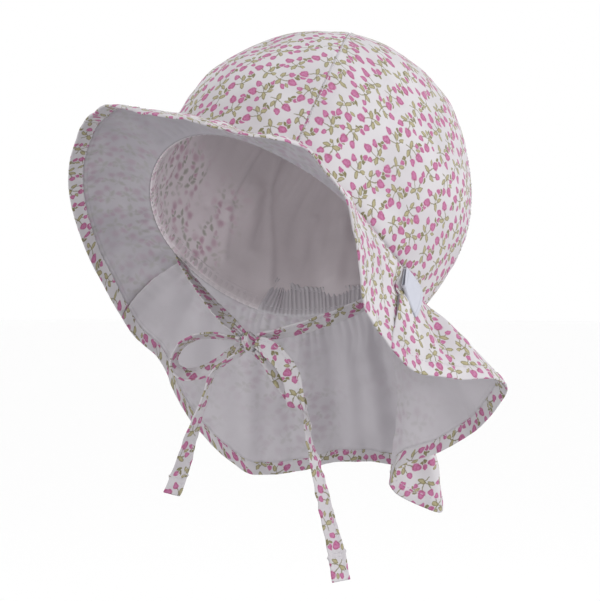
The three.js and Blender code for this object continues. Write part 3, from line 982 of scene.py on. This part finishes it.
def makeLining(look):
    at = look["from"] + np.arange(look["across"])[:, None] * (360 / look["across"])
    share = np.linspace(*look["shares"], look["up"])[None, :]
    at, share = np.broadcast_arrays(at, share)
    base = dome(at, share)
    normal = outwards(dome, 1, at, share)
    rise = runAlong(base, 1)
    # folds that are the same at both ends of the ring: whole numbers of waves
    dice = np.random.default_rng(5)
    nape = near(at - look["leanAt"], look["leanWide"])
    x, y = np.radians(at - look["lean"] * rise * nape), rise / 100
    folds = 0
    for _ in range(look["foldCount"]):
        waves = dice.integers(6, 22)
        lean = dice.uniform(-1.2, 1.2)
        phase = dice.uniform(0, 2 * np.pi)
        folds += np.sin(waves * x + lean * y + phase + 0.8 * np.sin(3 * x + 4 * y))
    folds = np.maximum(folds / 3.2, -0.6)
    calm = plateau(rise, *look["loose"])
    relief = look["folds"] * (folds + 0.45) * calm
    relief += look["crumple"] * np.sin(41 * x + 2.2 * np.sin(5 * x + 7 * y)) * calm
    degreeLong = 1.2  # millimetres to a degree, half way up
    for line, high, wide, soft in look["ridges"]:
        corners = [(a * degreeLong, r) for a, r in line]
        away = fromLine(at * degreeLong, rise, corners)
        relief += high * (near(away, wide) + 0.35 * near(away, wide + soft)) * easing(rise, 6, 18)
    relief = np.maximum(relief, -0.3) + np.maximum(settled(base), 0)
    top = base - normal * (look["inside"] + relief)[..., None]
    lift = facing(top, normal, True)
    across = runAlong(base, 0)
    ear = int(np.argmin(np.abs(at[:, 0] - form["rightEar"])))
    coords = np.stack([across - across[ear], rise], -1)
    under = top - lift * look["thick"]
    piece = clothPiece("crownLining", top, under, coords, [plain, plain], True, closeStart=2, closeEnd=2)
    area = paneArea(base, True) * 1.05
    declare(piece, "crown_lining", (490, 190), area=area)


makeLining(lining)
print("lining hung")


# seam tape round the head opening, and the gathered casing with its elastic at the nape
tape = {
    "inside": 2.1,
    "corner": (0.72, 1.2),  # below the brim, and inside the crown
    "tall": 6.5,
    "below": 1.0,
    "thick": 0.3,
    "columns": 520,
    # its rows: shares of below where they are under 0, and else shares of tall
    "rows": (-1.0, -0.6, -0.2, 0, 0.1, 0.22, 0.35, 0.48, 0.6, 0.7, 0.78, 0.85, 0.92, 1),
    "pucker": 0.2,
    "puckerLong": 3.4,
    "stitchAt": 5.2,
}


def alongSeam(at, tall, inside, corner, under, below):
    # from the underside of the brim round the corner of the seam and up inside the crown
    crownLong = 178  # millimetres from the head opening to the top, up the crown
    out, up = np.clip(-tall, 0, None), np.clip(tall, 0, None)
    share, rise = out / skirtLength(at[:, :1], 30), up / crownLong
    point = skirt(at, share) + dome(at, rise) - opening(at)
    lowFade, outFade = 1 - easing(up, 0, 1.8), 1 - easing(out, 0, below)
    down = (under + (corner[0] - under) * outFade) * lowFade
    inwards = (corner[1] + (inside - corner[1]) * easing(up, 0, 1.8)) * outFade
    point = point - outwards(skirt, -1, at, share + 0.01) * down[..., None]
    return point - outwards(dome, 1, at, rise + 0.004) * inwards[..., None]


def seamStrip(look, at, tall, deep, backDeep, wave):
    # front and back of a strip that lies along the seam
    low, far = look["corner"]
    front = alongSeam(at, tall, deep, (low + wave, far + wave), 0.45, look["below"])
    low, far = low - look["thick"], far - look["thick"]
    return front, alongSeam(at, tall, backDeep, (low, far), 0.2, look["below"])


def makeTape(look):
    start, end = form["casing"][1] - 360, form["casing"][0]
    at = np.linspace(start - 0.6, end + 0.6, look["columns"])[:, None]
    tall = np.array(look["rows"])[None, :]
    tall = np.where(tall < 0, tall * look["below"], tall * look["tall"])
    at, tall = np.broadcast_arrays(at, tall)
    run = np.radians(at) * 72  # the opening's mean radius, inside the cloth
    wave = np.sin(2 * np.pi * run / look["puckerLong"] + 1.5 * ripple(run, tall, 26, 9))
    relief = look["pucker"] * wave * near(tall - 2.6, 2.6) - 0.25 * near(tall - look["stitchAt"], 0.5)
    deep = look["inside"] + look["thick"] + relief
    front, back = seamStrip(look, at, tall, deep, deep - look["thick"], 0.16 * wave)
    coords = np.stack([run + 100, tall + 0 * run], -1)
    piece = clothPiece("seamTape", front, back, coords, [plain, plain], closeStart=3, closeEnd=3)
    declare(piece, "seam_tape", (345, 12))
    row = int(np.argmin(np.abs(tall[0] - look["stitchAt"])))
    stitchLine(front[:, row], -outwards(dome, 1, at, 0.03 + 0 * at)[:, row])


casing = {
    "inside": 2.3,
    "corner": (1.3, 2.0),
    "tall": 18.5,
    "below": 1.3,
    "thick": 0.4,
    "columns": 820,
    "rows": 36,
    "long": 122,  # from end to end as gathered, for the folds
    "fullness": 1.9,  # how much longer the cloth is before it is gathered
    "ribs": 54,
    "deep": 0.55,
    "lean": 0.4,  # degrees round for each millimetre up
    "ruffle": 0.9,
    "seamsAt": (2.2, 15.8),
}


def makeCasing(look):
    start, end = form["casing"]
    at = np.linspace(start + 0.2, end - 0.2, look["columns"])[:, None]
    tall = np.linspace(0, 1, look["rows"])[None, :]
    at, tall = np.broadcast_arrays(at, tall)
    along = (at - start) / (end - start)
    run = along * look["long"]
    high = look["tall"] + 0.5 * ripple(run, run * 0, 7, 21) + 0.5 * ripple(run, run * 0, 3.0, 22)
    up = tall * (high + look["below"]) - look["below"]
    phase = 2 * np.pi * look["ribs"] * along + 1.3 * foldsDown(run, up, 17, 23)
    phase = phase + 0.7 * foldsDown(run, up, 7, 24)
    rib = 1 - np.abs(np.sin(phase / 2)) ** 1.4
    size = 0.8 + 0.35 * foldsDown(run, up, 8, 25)
    held = 1 - 0.6 * near(up - look["seamsAt"][0], 0.7) - 0.6 * near(up - look["seamsAt"][1], 0.7)
    ruffle = easing(up, look["seamsAt"][1], look["tall"] + 1)
    calm = plateau(along, 0, 0.012, 0.988, 1)
    at = at + look["lean"] * np.clip(up, 0, None) * easing(along, 0, 0.16) * easing(1 - along, 0, 0.16)
    relief = look["deep"] * rib * size * held * easing(up, -look["below"], 1.5)
    relief += ruffle * look["ruffle"] * (0.5 + 0.5 * np.sin(phase * 0.97 + 0.8))
    hemmed = near(run - 0.8, 0.8) + near(run - run.max() + 0.8, 0.8)
    relief = relief * calm + 0.3 * np.sin(np.pi * np.clip(up / look["tall"], 0, 1)) + 0.8 * hemmed
    deep = look["inside"] + look["thick"] + relief
    front, back = seamStrip(look, at, up, deep, look["inside"] + relief * 0.4, 0.3 * rib * calm)
    coords = np.stack([run * look["fullness"] + 200, up], -1)
    piece = clothPiece("napeCasing", front, back, coords, [elasticPaintedShade, elasticPaintedShade], closeStart=3, closeEnd=3)
    declare(piece, "nape_casing", (150, 23))
    lift = -outwards(dome, 1, at, 0.05 + 0 * at)
    for stitch in look["seamsAt"]:
        row = int(np.argmin(np.abs(up.mean(0) - stitch)))
        stitchLine(front[:, row], lift[:, row])


makeTape(tape)
makeCasing(casing)
print("tape and casing sewn in")


# brim and flap: one layer of cloth with its edge turned under into a hem
brim = {
    "name": "brimCloth",
    "node": "brim",
    "from": form["rightEar"] - 360,
    "to": form["leftEar"],
    "columns": 470,
    "out": 46,
    "hemRows": 12,
    "thick": 0.55,
    "hemThick": 1.05,
    "foldPoints": 4,  # round the fold of the hem
    "swells": 1.0,
    "swellLong": 42,
    "drapes": 0.5,
    "drapeWide": 17,
    "crumple": 0.22,
    "crumpleLong": 13,
    "gathers": 0.3,
    "nape": (126, 140, 222, 236),
    "evenGathers": 1.0,  # how strong they are away from the nape
    "gatherWide": 6.5,
    "gatherLong": 11,
    "wrong": behindShaded,
    "hemPucker": 0.2,
    "hemPuckerLong": 7.2,
    "hemGroove": (0.45, 8.1, 0.7),  # depth, place from the edge and width of the stitched line
    "turn": 6,
    "seed": 3,
    "held": "hung",
    "under": 0,  # how far its ends go under the other piece, in degrees
    "joints": (0.15, 0.0),  # how deep the seams at its two ends lie
    "pleats": (1.2, 0.2),  # cloth that bunches beside its two ends
    "leftEnd": 1,  # which of its ends is at the left ear
    "hollow": (2.1, 3.4),  # depth and width of the cloth that sinks in at the label
    "hollowDown": (14, 5.5),  # and its place and length, down from the seam
    "ridge": 0.9,  # height of the cloth that stands up beside it
    "ridgeAt": (6.2, 2.4),
    "ridgeDown": (15, 8),
}
flap = {
    **brim,
    "name": "neckFlap",
    "node": "neck_flap",
    "from": form["leftEar"],
    "to": form["rightEar"],
    "columns": 520,
    "out": 66,
    "swells": 0.8,
    "drapes": 1.5,
    "gathers": 0.51,
    "evenGathers": 0.25,
    "gatherWide": 4.4,
    "gatherLong": 13,
    "wrong": behindFlapPaintedLight,
    "turn": -14,
    "seed": 4,
    "held": "gathered",
    "under": 0.55,
    "joints": (0.03, 0.15),
    "pleats": (0.2, 1.5),
    "leftEnd": 0,
    "hollow": (2.1, 2.2),
    "ridge": 0,
}


def makeSkirt(look):
    at = np.linspace(look["from"] - look["under"], look["to"] + look["under"], look["columns"])[:, None]
    length = skirtLength(at)
    turnAt = 1 - form["hem"] / length
    body = np.linspace(0, 1, look["out"])[None, :] * turnAt
    hem = turnAt + (1 - turnAt) * np.linspace(0, 1, look["hemRows"])[None, :]
    share = np.concatenate([body, hem[:, 1:]], 1)
    at = at + 0 * share
    base = skirt(at, share)
    normal = outwards(skirt, -1, at, share)
    out = share * length
    toEdge = length - out
    ringRun = runAlong(base[:, :1], 0)[:, :1] + 0 * share
    edgeRun = runAlong(base[:, -1:], 0)[:, :1] + 0 * share
    flatSeam, flatWay = laidFlat(base[:, 0], base[:, -1])
    x, y = (flatSeam[:, None, n] + flatWay[:, None, n] * out for n in range(2))
    relief = look["swells"] * ripple(x, y, look["swellLong"], look["seed"]) * easing(out, 0, 16)
    crumple = look["crumple"] * ripple(x, y, look["crumpleLong"], look["seed"] + 10)
    relief += crumple * easing(out, 0, 6)
    # the cloth sinks in at the label, and stands up beside it
    sides = (ringRun, ringRun[-1:] - ringRun)
    ear, other = sides[look["leftEnd"]], sides[1 - look["leftEnd"]]
    (deep, wide), (low, long) = look["hollow"], look["hollowDown"]
    relief -= deep * near(ear, wide) * near(out - low, long) * easing(out, 3, 8)
    (place, wide), (low, long) = look["ridgeAt"], look["ridgeDown"]
    relief += look["ridge"] * near(ear - place, wide) * near(out - low, long)
    # soft folds that run down from the seam, and the gathers in it
    drape = foldsDown(ringRun, out, look["drapeWide"], look["seed"] + 40) * easing(out, 0, 24)
    drape = drape * (0.5 + 0.5 * easing(toEdge, 6, 26))
    relief += look["drapes"] * drape
    nape = plateau(at, *look["nape"])
    strength = look["gathers"] * (look["evenGathers"] + (1 - look["evenGathers"]) * nape)
    phase = 2 * np.pi * ringRun / look["gatherWide"] + 1.8 * ripple(ringRun, out, 34, look["seed"] + 20)
    fading = np.exp(-out / look["gatherLong"]) * easing(out, 0, 3)
    relief += strength * fading * (np.cos(phase) + 0.5 * np.cos(phase * 0.53 + 1))
    # the hem puckers along its stitches
    wander = 1.5 * ripple(edgeRun, out * 0, 40, look["seed"] + 30)
    puckers = np.sin(2 * np.pi * edgeRun / look["hemPuckerLong"] + wander)
    relief += look["hemPucker"] * puckers * near(toEdge - 6, 5)
    deep, place, wide = look["hemGroove"]
    relief = relief - deep * near(toEdge - place, wide) + 0.25 * near(toEdge - 4, 3)
    # the seams at both ears, and the hollow along the one at the right ear
    flare = 0.6 + 0.8 * share
    joint = sum(deep * near(side * flare, 1.2) for side, deep in zip(sides, look["joints"]))
    relief = relief - joint - 0.8 * near(other * flare - 3.4, 3.2) * easing(out, 2, 12)
    for side, deep in zip(sides, look["pleats"]):
        relief += deep * near(side - 6 - 0.06 * out, 3.2) * np.exp(-out / 26) * easing(out, 1, 8)
        relief -= 0.5 * deep * near(side - 1.5, 2.4) * np.exp(-out / 30) * easing(out, 1, 6)
    ends = np.minimum(*sides) * flare
    relief += 0.14 * np.sin(2 * np.pi * out / 6.5) * np.exp(-ends / 5)
    top = base + normal * relief[..., None] + seamTuck(at[:, :1], out)
    lift = facing(top, normal)
    rows, turnUp = share.shape[1], look["out"] - 1
    # one layer down to the hem, and the folded hem below it
    pinch = np.minimum(2.2 * joint, look["thick"] * 0.5)
    thin = top - lift * (look["thick"] - pinch)[..., None]
    swell = 0.2 * near(toEdge - 4, 3) + 0.1 * puckers
    thick = top - lift * (look["hemThick"] + swell - pinch)[..., None]
    folded, hemRows = look["foldPoints"], rows - turnUp
    arc = rolled(top, thick, -1, folded)
    loops = np.concatenate([top, arc, thick[:, ::-1][:, :hemRows], thin[:, : turnUp + 1][:, ::-1]], 1)
    fold = np.pi * look["hemThick"] / 2  # the cloth goes on round the fold
    past = length + (fold * np.arange(1, folded + 1)[None, :] / (folded + 1) + 0 * length)
    inner = (length + fold + toEdge)[:, ::-1][:, :hemRows]
    steps = np.concatenate([out, past, inner, out[:, : turnUp + 1][:, ::-1]], 1)
    coords = flatSeam[:, None] + flatWay[:, None] * steps[..., None]
    coords = turned(coords, look["turn"], (look["seed"] * 57, look["seed"] * 31))
    inks = [0] * (rows + folded + hemRows - 1) + [1] * (turnUp + 2)
    # faces that close its two ends: the single layer, the step at the hem and the hem itself
    thickAt = [rows + folded + (rows - 1 - k) for k in range(turnUp, rows)]
    thinAt = [loops.shape[1] - 1 - k for k in range(turnUp + 1)]
    caps = [[k, k + 1, thinAt[k + 1], thinAt[k]] for k in range(turnUp)]
    caps.append([turnUp, turnUp + 1, thickAt[1], thickAt[0], thinAt[turnUp]])
    caps += [[k, k + 1, thickAt[k + 1 - turnUp], thickAt[k - turnUp]] for k in range(turnUp + 1, rows - 1)]
    caps.append([rows - 1, *range(rows, rows + folded), thickAt[-1]])
    piece = loft(look["name"], loops, coords, inks, [printed, look["wrong"]], caps)
    stitchLine(top[2:-2, turnUp + 1], lift[2:-2, turnUp + 1])
    stitchLine(thick[2:-2, turnUp + 1], -lift[2:-2, turnUp + 1])
    flat = (edgeRun.max() + 20, length.max() + form["hem"] + 10)
    declare(piece, look["node"], flat, area=paneArea(base) * 1.12)


makeSkirt(brim)
print("brim hemmed")
makeSkirt(flap)
print("flap hemmed")


# blank folded label in the seam behind the left ear
label = {
    "top": (101, 2.2, 115.8, 0.8),  # seam angle and drop of its two corners at the seam
    "fold": (100.8, 14.5, 107.5, 23.5),  # and at the fold
    "wide": 20,
    "long": 15,
    "thick": 0.3,
    "off": 0.9,  # how far it lies off the flap
    "open": 1.2,  # how far its two layers stand apart
    "columns": 44,
    "rows": 34,
    "foldRows": 9,
    "curl": 0.6,
}


def makeLabel(look):
    over = np.linspace(0, 1, look["columns"])[:, None]
    rows, fold = look["rows"], look["foldRows"]
    turn = np.linspace(0, np.pi, fold + 2)[1:-1]
    down = np.concatenate([np.linspace(0, 1, rows), np.ones(fold), np.linspace(1, 0, rows)])
    down[rows : rows + fold] += look["open"] / 2 / look["long"] * np.sin(turn)
    high = np.concatenate([np.ones(rows), 0.5 + 0.5 * np.cos(turn), np.zeros(rows)])
    over, down, high = np.broadcast_arrays(over, down[None, :], high[None, :])
    (a0, d0, a1, d1), (b0, e0, b1, e1) = look["top"], look["fold"]
    at = (a0 + (a1 - a0) * over) * (1 - down) + (b0 + (b1 - b0) * over) * down
    drop = (d0 + (d1 - d0) * over) * (1 - down) + (e0 + (e1 - e0) * over) * down
    share = drop / skirtLength(at[:, :1])
    base, normal = skirt(at, share), outwards(skirt, -1, at, share)
    lift = look["off"] + high * look["open"] + look["curl"] * high * down**2 * (1 - over) ** 2
    lift = lift + 0.3 * high * np.sin(np.pi * over) * np.sin(np.pi * np.minimum(down, 1))
    middle = base + normal * lift[..., None]
    side = facing(middle)
    coords = np.stack([(over - 0.5) * look["wide"], down * look["long"] + high * 40], -1)
    front, back = middle + side * look["thick"] / 2, middle - side * look["thick"] / 2
    finishes = [ribbonWhite, ribbonWhite]
    piece = clothPiece("sideLabel", front, back, coords, finishes, closeStart=2, closeEnd=2)
    flat = (look["wide"] + 1, 2 * look["long"] + 3)
    declare(piece, "side_label", flat, area=paneArea(middle) * 1.02)
    stitchLine((middle + side * (look["thick"] / 2 + 0.05))[1:-1, 2], side[1:-1, 2])


makeLabel(label)
print("label folded")


# ties and bow: narrow double bands of the printed cloth
bow = {
    "at": (0, -29, -54),  # the knot
    "bearing": 20,  # how far its left side is turned back
    "wide": 9,
    "flatWide": 12,  # half of the strip that a band is folded from
    "thick": 0.8,
    "across": 17,
    "step": 0.75,
    "edge": 0.18,
    "crease": 0.22,
    "pleat": 0.55,
    "stitchIn": 0.16,  # share of the width
}
bowSide = np.array([np.cos(np.radians(bow["bearing"])), np.sin(np.radians(bow["bearing"])), 0])
bowOut = np.array([bowSide[1], -bowSide[0], 0])

# side, out, up, turn, share of the width
loopRight = [
    (-4.3, 0.8, 1.2, 20, 0.45),
    (-15, 2, 2.8, 20, 0.9),
    (-25, 3, 2.6, 16, 1),
    (-34, 3, -1, 6, 1),
    (-38.8, 3, -7, 0, 1),
    (-39.6, 2.4, -12.6, 2, 1),
    (-35, 0.6, -16.4, 12, 1),
    (-28, -1.4, -15.8, 18, 1),
    (-20, -2.8, -12.2, 22, 0.9),
    (-12, -2.6, -6.6, 24, 0.7),
    (-4.2, -1.2, -1.8, 18, 0.45),
]
loopLeft = [
    (4.4, 1.8, -0.4, 84, 0.45),
    (8.6, 3.2, -1.6, 84, 0.85),
    (14, 4.4, -4.5, 84, 1),
    (19.8, 5.4, -9.6, 86, 1),
    (24.3, 5.6, -16.1, 86, 1),
    (26.0, 5.4, -23.2, 88, 1),
    (26.2, 4.3, -29.2, 88, 1),
    (26.0, 1.9, -32, 88, 1),
    (25.2, -0.4, -29.6, 86, 1),
    (21.6, -1.6, -24, 84, 1),
    (15.4, -1.5, -16.8, 80, 0.95),
    (11.2, -1.2, -10.6, 80, 0.85),
    (7.4, -0.5, -6, 82, 0.6),
    (4.2, -0.3, -3.6, 84, 0.4),
]
endRight = [
    (-2.2, 1.4, -4.4, 10, 0.5),
    (-10.4, 4.6, -9.8, 2, 0.85),
    (-16.8, 5.2, -15.2, -2, 1),
    (-20.1, 4.6, -20.9, -10, 1),
    (-22.8, 4, -28.9, -8, 1),
    (-26.1, 3.4, -36.3, 1, 1),
    (-29.1, 3, -43.9, 10, 1),
    (-33.5, 2.4, -56.4, 24, 1),
    (-37.5, 2, -67.4, 34, 1),
    (-41.4, 2, -76.1, 36, 1),
]
endLeft = [
    (1.2, -2.2, -4.3, 20, 0.45),
    (7.6, -7.4, -13, 8, 0.75),
    (15.6, -10.4, -21.4, 0, 0.9),
    (23.2, -10.2, -30.6, -6, 1),
    (27, -8.6, -38, -16, 1),
    (29.2, -6, -47.2, -14, 1),
    (32.8, -5, -58, 0, 1),
    (36.7, -4, -72.4, 10, 1),
    (40.7, -3, -86.9, 16, 1),
    (44.8, -2.4, -101.3, 28, 1),
    (47.6, -2, -115, 32, 1),
]


def inBow(side, out, up):
    return np.array(bow["at"], float) + bowSide * side + bowOut * out + np.array([0, 0, up])


def smoothPath(points, count):
    # an even curve through the points, by their centripetal distances
    points = np.array(points, float)
    points = np.concatenate([[2 * points[0] - points[1]], points, [2 * points[-1] - points[-2]]])
    share = np.linspace(0, len(points) - 3, count)
    k = np.minimum(share.astype(int), len(points) - 4)
    t = (share - k)[:, None]
    p0, p1, p2, p3 = (points[k + n] for n in range(4))
    ways = (p1 - p0, p2 - p1, p3 - p2)
    d0, d1, d2 = (np.linalg.norm(way, axis=-1, keepdims=True) ** 0.5 for way in ways)
    start = ((p1 - p0) / d0 - (p2 - p0) / (d0 + d1) + (p2 - p1) / d1) * d1
    end = ((p2 - p1) / d1 - (p3 - p1) / (d1 + d2) + (p3 - p2) / d2) * d1
    return curve(t, p1, p2, start, end)


def carry(ahead, start):
    # takes the direction across the band along its path without twisting it
    across = np.empty_like(ahead)
    held = np.array(start, float)
    for k, way in enumerate(ahead):
        held = held - way * (held @ way)
        held /= np.linalg.norm(held)
        across[k] = held
    return across


def makeBand(name, node, points, turns, wides, seed, start=bowOut, cut=None, look=bow):
    # a flat double band along the points, turned and drawn in on its way
    count = int(runAlong(smoothPath(points, 200)[:, None], 0)[-1, 0] / look["step"]) + 1
    path = smoothPath(points, count)
    ahead = np.gradient(path, axis=0)
    ahead /= np.linalg.norm(ahead, axis=-1, keepdims=True)
    across = carry(ahead, start)
    share = np.linspace(0, 1, count)
    turn = np.radians(np.interp(share, np.linspace(0, 1, len(turns)), turns))[:, None]
    across = across * np.cos(turn) + np.cross(ahead, across) * np.sin(turn)
    wide = np.interp(share, np.linspace(0, 1, len(wides)), wides)
    wide = np.convolve(np.pad(wide, 4, mode="edge"), np.ones(9) / 9, "valid")[:, None]
    face = np.cross(ahead, across)
    run = runAlong(path[:, None], 0)[:, 0][:, None]
    over = np.linspace(-1, 1, look["across"])[None, :]
    half = look["wide"] / 2
    squeeze = np.clip((1 - wide) * 1.6, 0, 1)
    bend = look["crease"] * ripple(run, over * half * 0.8, 11, seed)
    bend = bend + 0.15 * ripple(run, over * 3, 4.5, seed + 1)
    pleat = look["pleat"] * squeeze * np.cos(over * 1.5 * np.pi * 2 + 0.6 * np.sin(run / 6))
    bend = bend + pleat + 0.35 * (over**2 - 0.4) * np.sin(run / 17 + seed)
    middle = path[:, None] + across[:, None] * (over * half * wide)[..., None]
    middle = middle + face[:, None] * bend[..., None]
    lift = facing(middle, face[:, None])
    rim = look["edge"] * near(np.abs(over) - 0.86, 0.12) - 0.12 * near(np.abs(over) - 0.66, 0.07)
    thick = (look["thick"] / 2 * (0.82 + 0.25 * squeeze) + rim)[..., None]
    coords = np.stack([over * half + 0 * run, run + 0 * over], -1)
    coords = turned(coords, 3 * seed, (seed * 19.0, seed * 41.0))
    top, under = middle + lift * thick, middle - lift * thick
    if cut:
        # the end is turned in, and a tuck is stitched across where it ends
        left = run[-1] - run + 0.9 * over
        tuck = left - cut - 0.9
        fat = 0.25 * easing(left, cut + 0.6, cut - 0.4) + 0.75 * near(tuck, 0.75)
        fat = (fat * (1 + 0.35 * np.sin(over * 9 + seed)))[..., None]
        spread = (near(tuck, 0.8) * 0.55 * over**3)[..., None] * across[:, None]
        top, under = top + lift * fat * 0.6 + spread, under - lift * fat * 0.5 + spread
    piece = clothPiece(name, top, under, coords, [printed, printed], closeStart=3, closeEnd=3)
    declare(piece, node, (look["flatWide"], float(run[-1, 0]) + 6))
    lines = [np.s_[3:-2, int(round((look["across"] - 1) * look["stitchIn"]))]]
    for past in (cut, cut + 1.9) if cut else ():
        lines.append(np.s_[int(np.argmin(np.abs(run[-1] - run[:, 0] - past))), 1:-1])
    for line in lines:
        stitchLine(top[line], lift[line])
        stitchLine(under[line], -lift[line])


def makeBow(name, node, rows, seed, cut=None):
    points = [inBow(*row[:3]) for row in rows]
    makeBand(name, node, points, [row[3] for row in rows], [row[4] for row in rows], seed, cut=cut)


ties = [
    {
        "name": "tieRight",
        "node": "tie_right",
        "at": 267,
        "end": (-4.6, -0.4, 3.2),
        "twist": 60,
        "slack": 2,
        "seed": 7,
    },
    {
        "name": "tieLeft",
        "node": "tie_left",
        "at": 110,
        "end": (4.6, -0.4, 2),
        "twist": 0,
        "slack": 4,
        "seed": 9,
    },
]


def makeTie(tie):
    seam, last = opening(np.array(float(tie["at"]))), inBow(*tie["end"])
    ahead = (last - seam) / np.linalg.norm(last - seam)
    first = seam + ahead * 1.6 + inCrown(np.array(0.0), np.array(0.0), np.array(-0.8))
    shares = np.linspace(0, 1, 7)
    drops = [np.array([0, 0, tie["slack"] * 4 * s * (1 - s)]) for s in shares]
    points = [first + (last - first) * s - drop for s, drop in zip(shares, drops)]
    start = opening(np.array(tie["at"] + 0.2)) - seam
    turns, wides = list(tie["twist"] * shares), [1, 1, 1, 1, 1, 0.85, 0.5]
    makeBand(tie["name"], tie["node"], points, turns, wides, tie["seed"], start=start)


for tie in ties:
    makeTie(tie)
makeBow("bowLoopRight", "bow_loop_right", loopRight, 11)
makeBow("bowLoopLeft", "bow_loop_left", loopLeft, 13)
makeBow("bowEndRight", "bow_end_right", endRight, 15, cut=9)
makeBow("bowEndLeft", "bow_end_left", endLeft, 17, cut=12)

knot = {
    "side": 4.3,
    "out": 4.0,
    "up": 4.3,
    "round": 120,
    "along": 90,
    "wrap": 2.0,
    "wrapLean": 1.1,
    "waist": 0.6,
    "pleats": 0.14,
    "creases": 0.3,
    "hole": 2.4,
}


def makeKnot(look):
    # cloth pulled in from both sides, with one turn of the tie wrapped round its middle
    turn = np.arange(look["round"])[:, None] * 2 * np.pi / look["round"]
    lean = np.linspace(0.04, np.pi - 0.04, look["along"])[None, :]
    side = look["side"] * np.cos(lean) + 0 * turn
    place = side + look["wrapLean"] * np.sin(turn + 0.6)
    wrapped = easing(np.abs(place), look["wrap"] + 0.3, look["wrap"] - 0.2)
    reach = np.sin(lean) ** 0.7 * (look["waist"] + (1 - look["waist"]) * wrapped)
    pleats = np.abs(np.sin(4 * turn + 0.5 * side)) + 0.5 * np.abs(np.sin(7 * turn - 0.7 * side + 1)) - 0.8
    reach = reach * (1 + look["pleats"] * 2 * pleats * (1 - wrapped))
    rounds = np.sin(place * 4.4 + 0.7 * np.sin(turn * 2 + 1))
    rounds = rounds + 0.6 * np.sin(place * 2.1 - 1.2 * np.sin(turn + 2))
    crease = look["creases"] * rounds * wrapped + 0.25 * wrapped * (1 - (place / look["wrap"]) ** 2)
    hole = look["hole"] * near(side - 3.1, 1.1) * near(np.mod(turn - 0.1 + np.pi, 2 * np.pi) - np.pi, 0.75)
    out = (reach * look["out"] + crease - hole) * np.cos(turn)
    up = (reach * look["up"] + crease - hole) * np.sin(turn)
    points = np.array(bow["at"], float) + side[..., None] * bowSide + out[..., None] * bowOut
    points = points + up[..., None] * np.array([0, 0, 1.0])
    rows = look["along"]
    verts = points.reshape(-1, 3)
    faces = []
    for i in range(look["round"]):
        here, there = i * rows, (i + 1) % look["round"] * rows
        faces += [[here + k, there + k, there + k + 1, here + k + 1] for k in range(rows - 1)]
    faces.append([i * rows for i in range(look["round"])][::-1])
    faces.append([i * rows + rows - 1 for i in range(look["round"])])
    coords = np.stack([turn * 4.4 + 4 + 0 * lean, side * 1.3 + 61], -1).reshape(-1, 2)
    piece = skin("bowKnot", verts, faces, coords, [0] * len(faces), [printed])
    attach(piece, "root")
    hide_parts("bow_knot")


makeKnot(knot)
print("ties and bow tied")


# stitches in one piece
def makeStitches():
    verts, coords = np.concatenate(stitching["verts"]), np.concatenate(stitching["coords"])
    faces = stitching["faces"]
    piece = skin("stitches", verts, faces, coords, [0] * len(faces), [thread])
    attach(piece, "root")


makeStitches()
print("stitches set")


# studio: a pale floor well below with a painted shadow close under the hat, an even white sky and three
# soft lamps
studio = {
    "azimuth": 43,
    "distance": 1.0,  # metres, here and below
    "aim": (0.0037, 0.0034, -0.034),
    "lens": 120,
    "floorAt": -0.42,
    "floorWide": 60,
    "floorColour": tint(253, 253, 253),
    "floorPaintedShadow": tint(178, 177, 179),  # painted shadow close under the hat, so that its undersides stay in shade
    "floorFrom": 0.55,
    "floorTo": 1.45,
    "sky": 1.0,
    "keyFrom": (1.44, 0.66, 0.4),
    "keySize": 0.9,
    "keyPower": 5.5,
    "fillFrom": (1.69, -0.06, -0.2),
    "fillSize": 1.0,
    "fillPower": 5.5,
    "sideFrom": (-0.75, -1.45, -0.15),
    "sideSize": 1.0,
    "sidePower": 2.2,
}


def paleFloor(look):
    f = Finish("paleFloor")
    place = f.node("ShaderNodeTexCoord", {}, {}).output("Object")
    flat = f.node("ShaderNodeSeparateXYZ", {}, {0: place})
    x, y = flat.output("X"), flat.output("Y")
    # grey close under the hat and pale further out: a painted shadow
    away = (x * x + y * y).root().between(look["floorFrom"], look["floorTo"])
    colour = f.mix(away, look["floorPaintedShadow"], look["floorColour"])
    normal = f.bump(f.noise(place, 30.0, 2.0), 0.02, 0.001)
    return f.cover(colour, normal, {"roughness": 0.9, "sheen": 0.0, "gloss": 0.1})


def makeStudio(look):
    half = look["floorWide"] / 2
    mesh = bpy.data.meshes.new("floor")
    corners = [(x * half, y * half, look["floorAt"]) for x, y in ((-1, -1), (1, -1), (1, 1), (-1, 1))]
    mesh.from_pydata(corners, [], [(0, 1, 2, 3)])
    mesh.materials.append(paleFloor(look))
    floor = placed("floor", mesh)
    world = bpy.data.worlds.new("studioSky")
    world.use_nodes = True
    sky = world.node_tree.nodes["Background"]
    sky.inputs["Color"].default_value = (1.0, 1.0, 1.0, 1.0)
    sky.inputs["Strength"].default_value = look["sky"]
    bpy.context.scene.world = world
    aim = Vector(look["aim"])
    for name in ("key", "fill", "side"):
        lamp = bpy.data.lights.new(name, "AREA")
        lamp.shape = "DISK"
        lamp.size = look[name + "Size"]
        lamp.energy = look[name + "Power"]
        light = placed(name, lamp)
        light.location = look[name + "From"]
        light.rotation_euler = (aim - light.location).to_track_quat("-Z", "Y").to_euler()
    lens = bpy.data.cameras.new("camera")
    lens.sensor_fit = "HORIZONTAL"
    lens.sensor_width = 36
    lens.lens = look["lens"]
    camera = placed("camera", lens)
    turn = np.radians(look["azimuth"])
    camera.location = aim + Vector((np.sin(turn), -np.cos(turn), 0)) * look["distance"]
    camera.rotation_euler = (aim - camera.location).to_track_quat("-Z", "Y").to_euler()
    bpy.context.scene.camera = camera
    bpy.context.scene.view_settings.view_transform = "Standard"


makeStudio(studio)
print("studio lit")
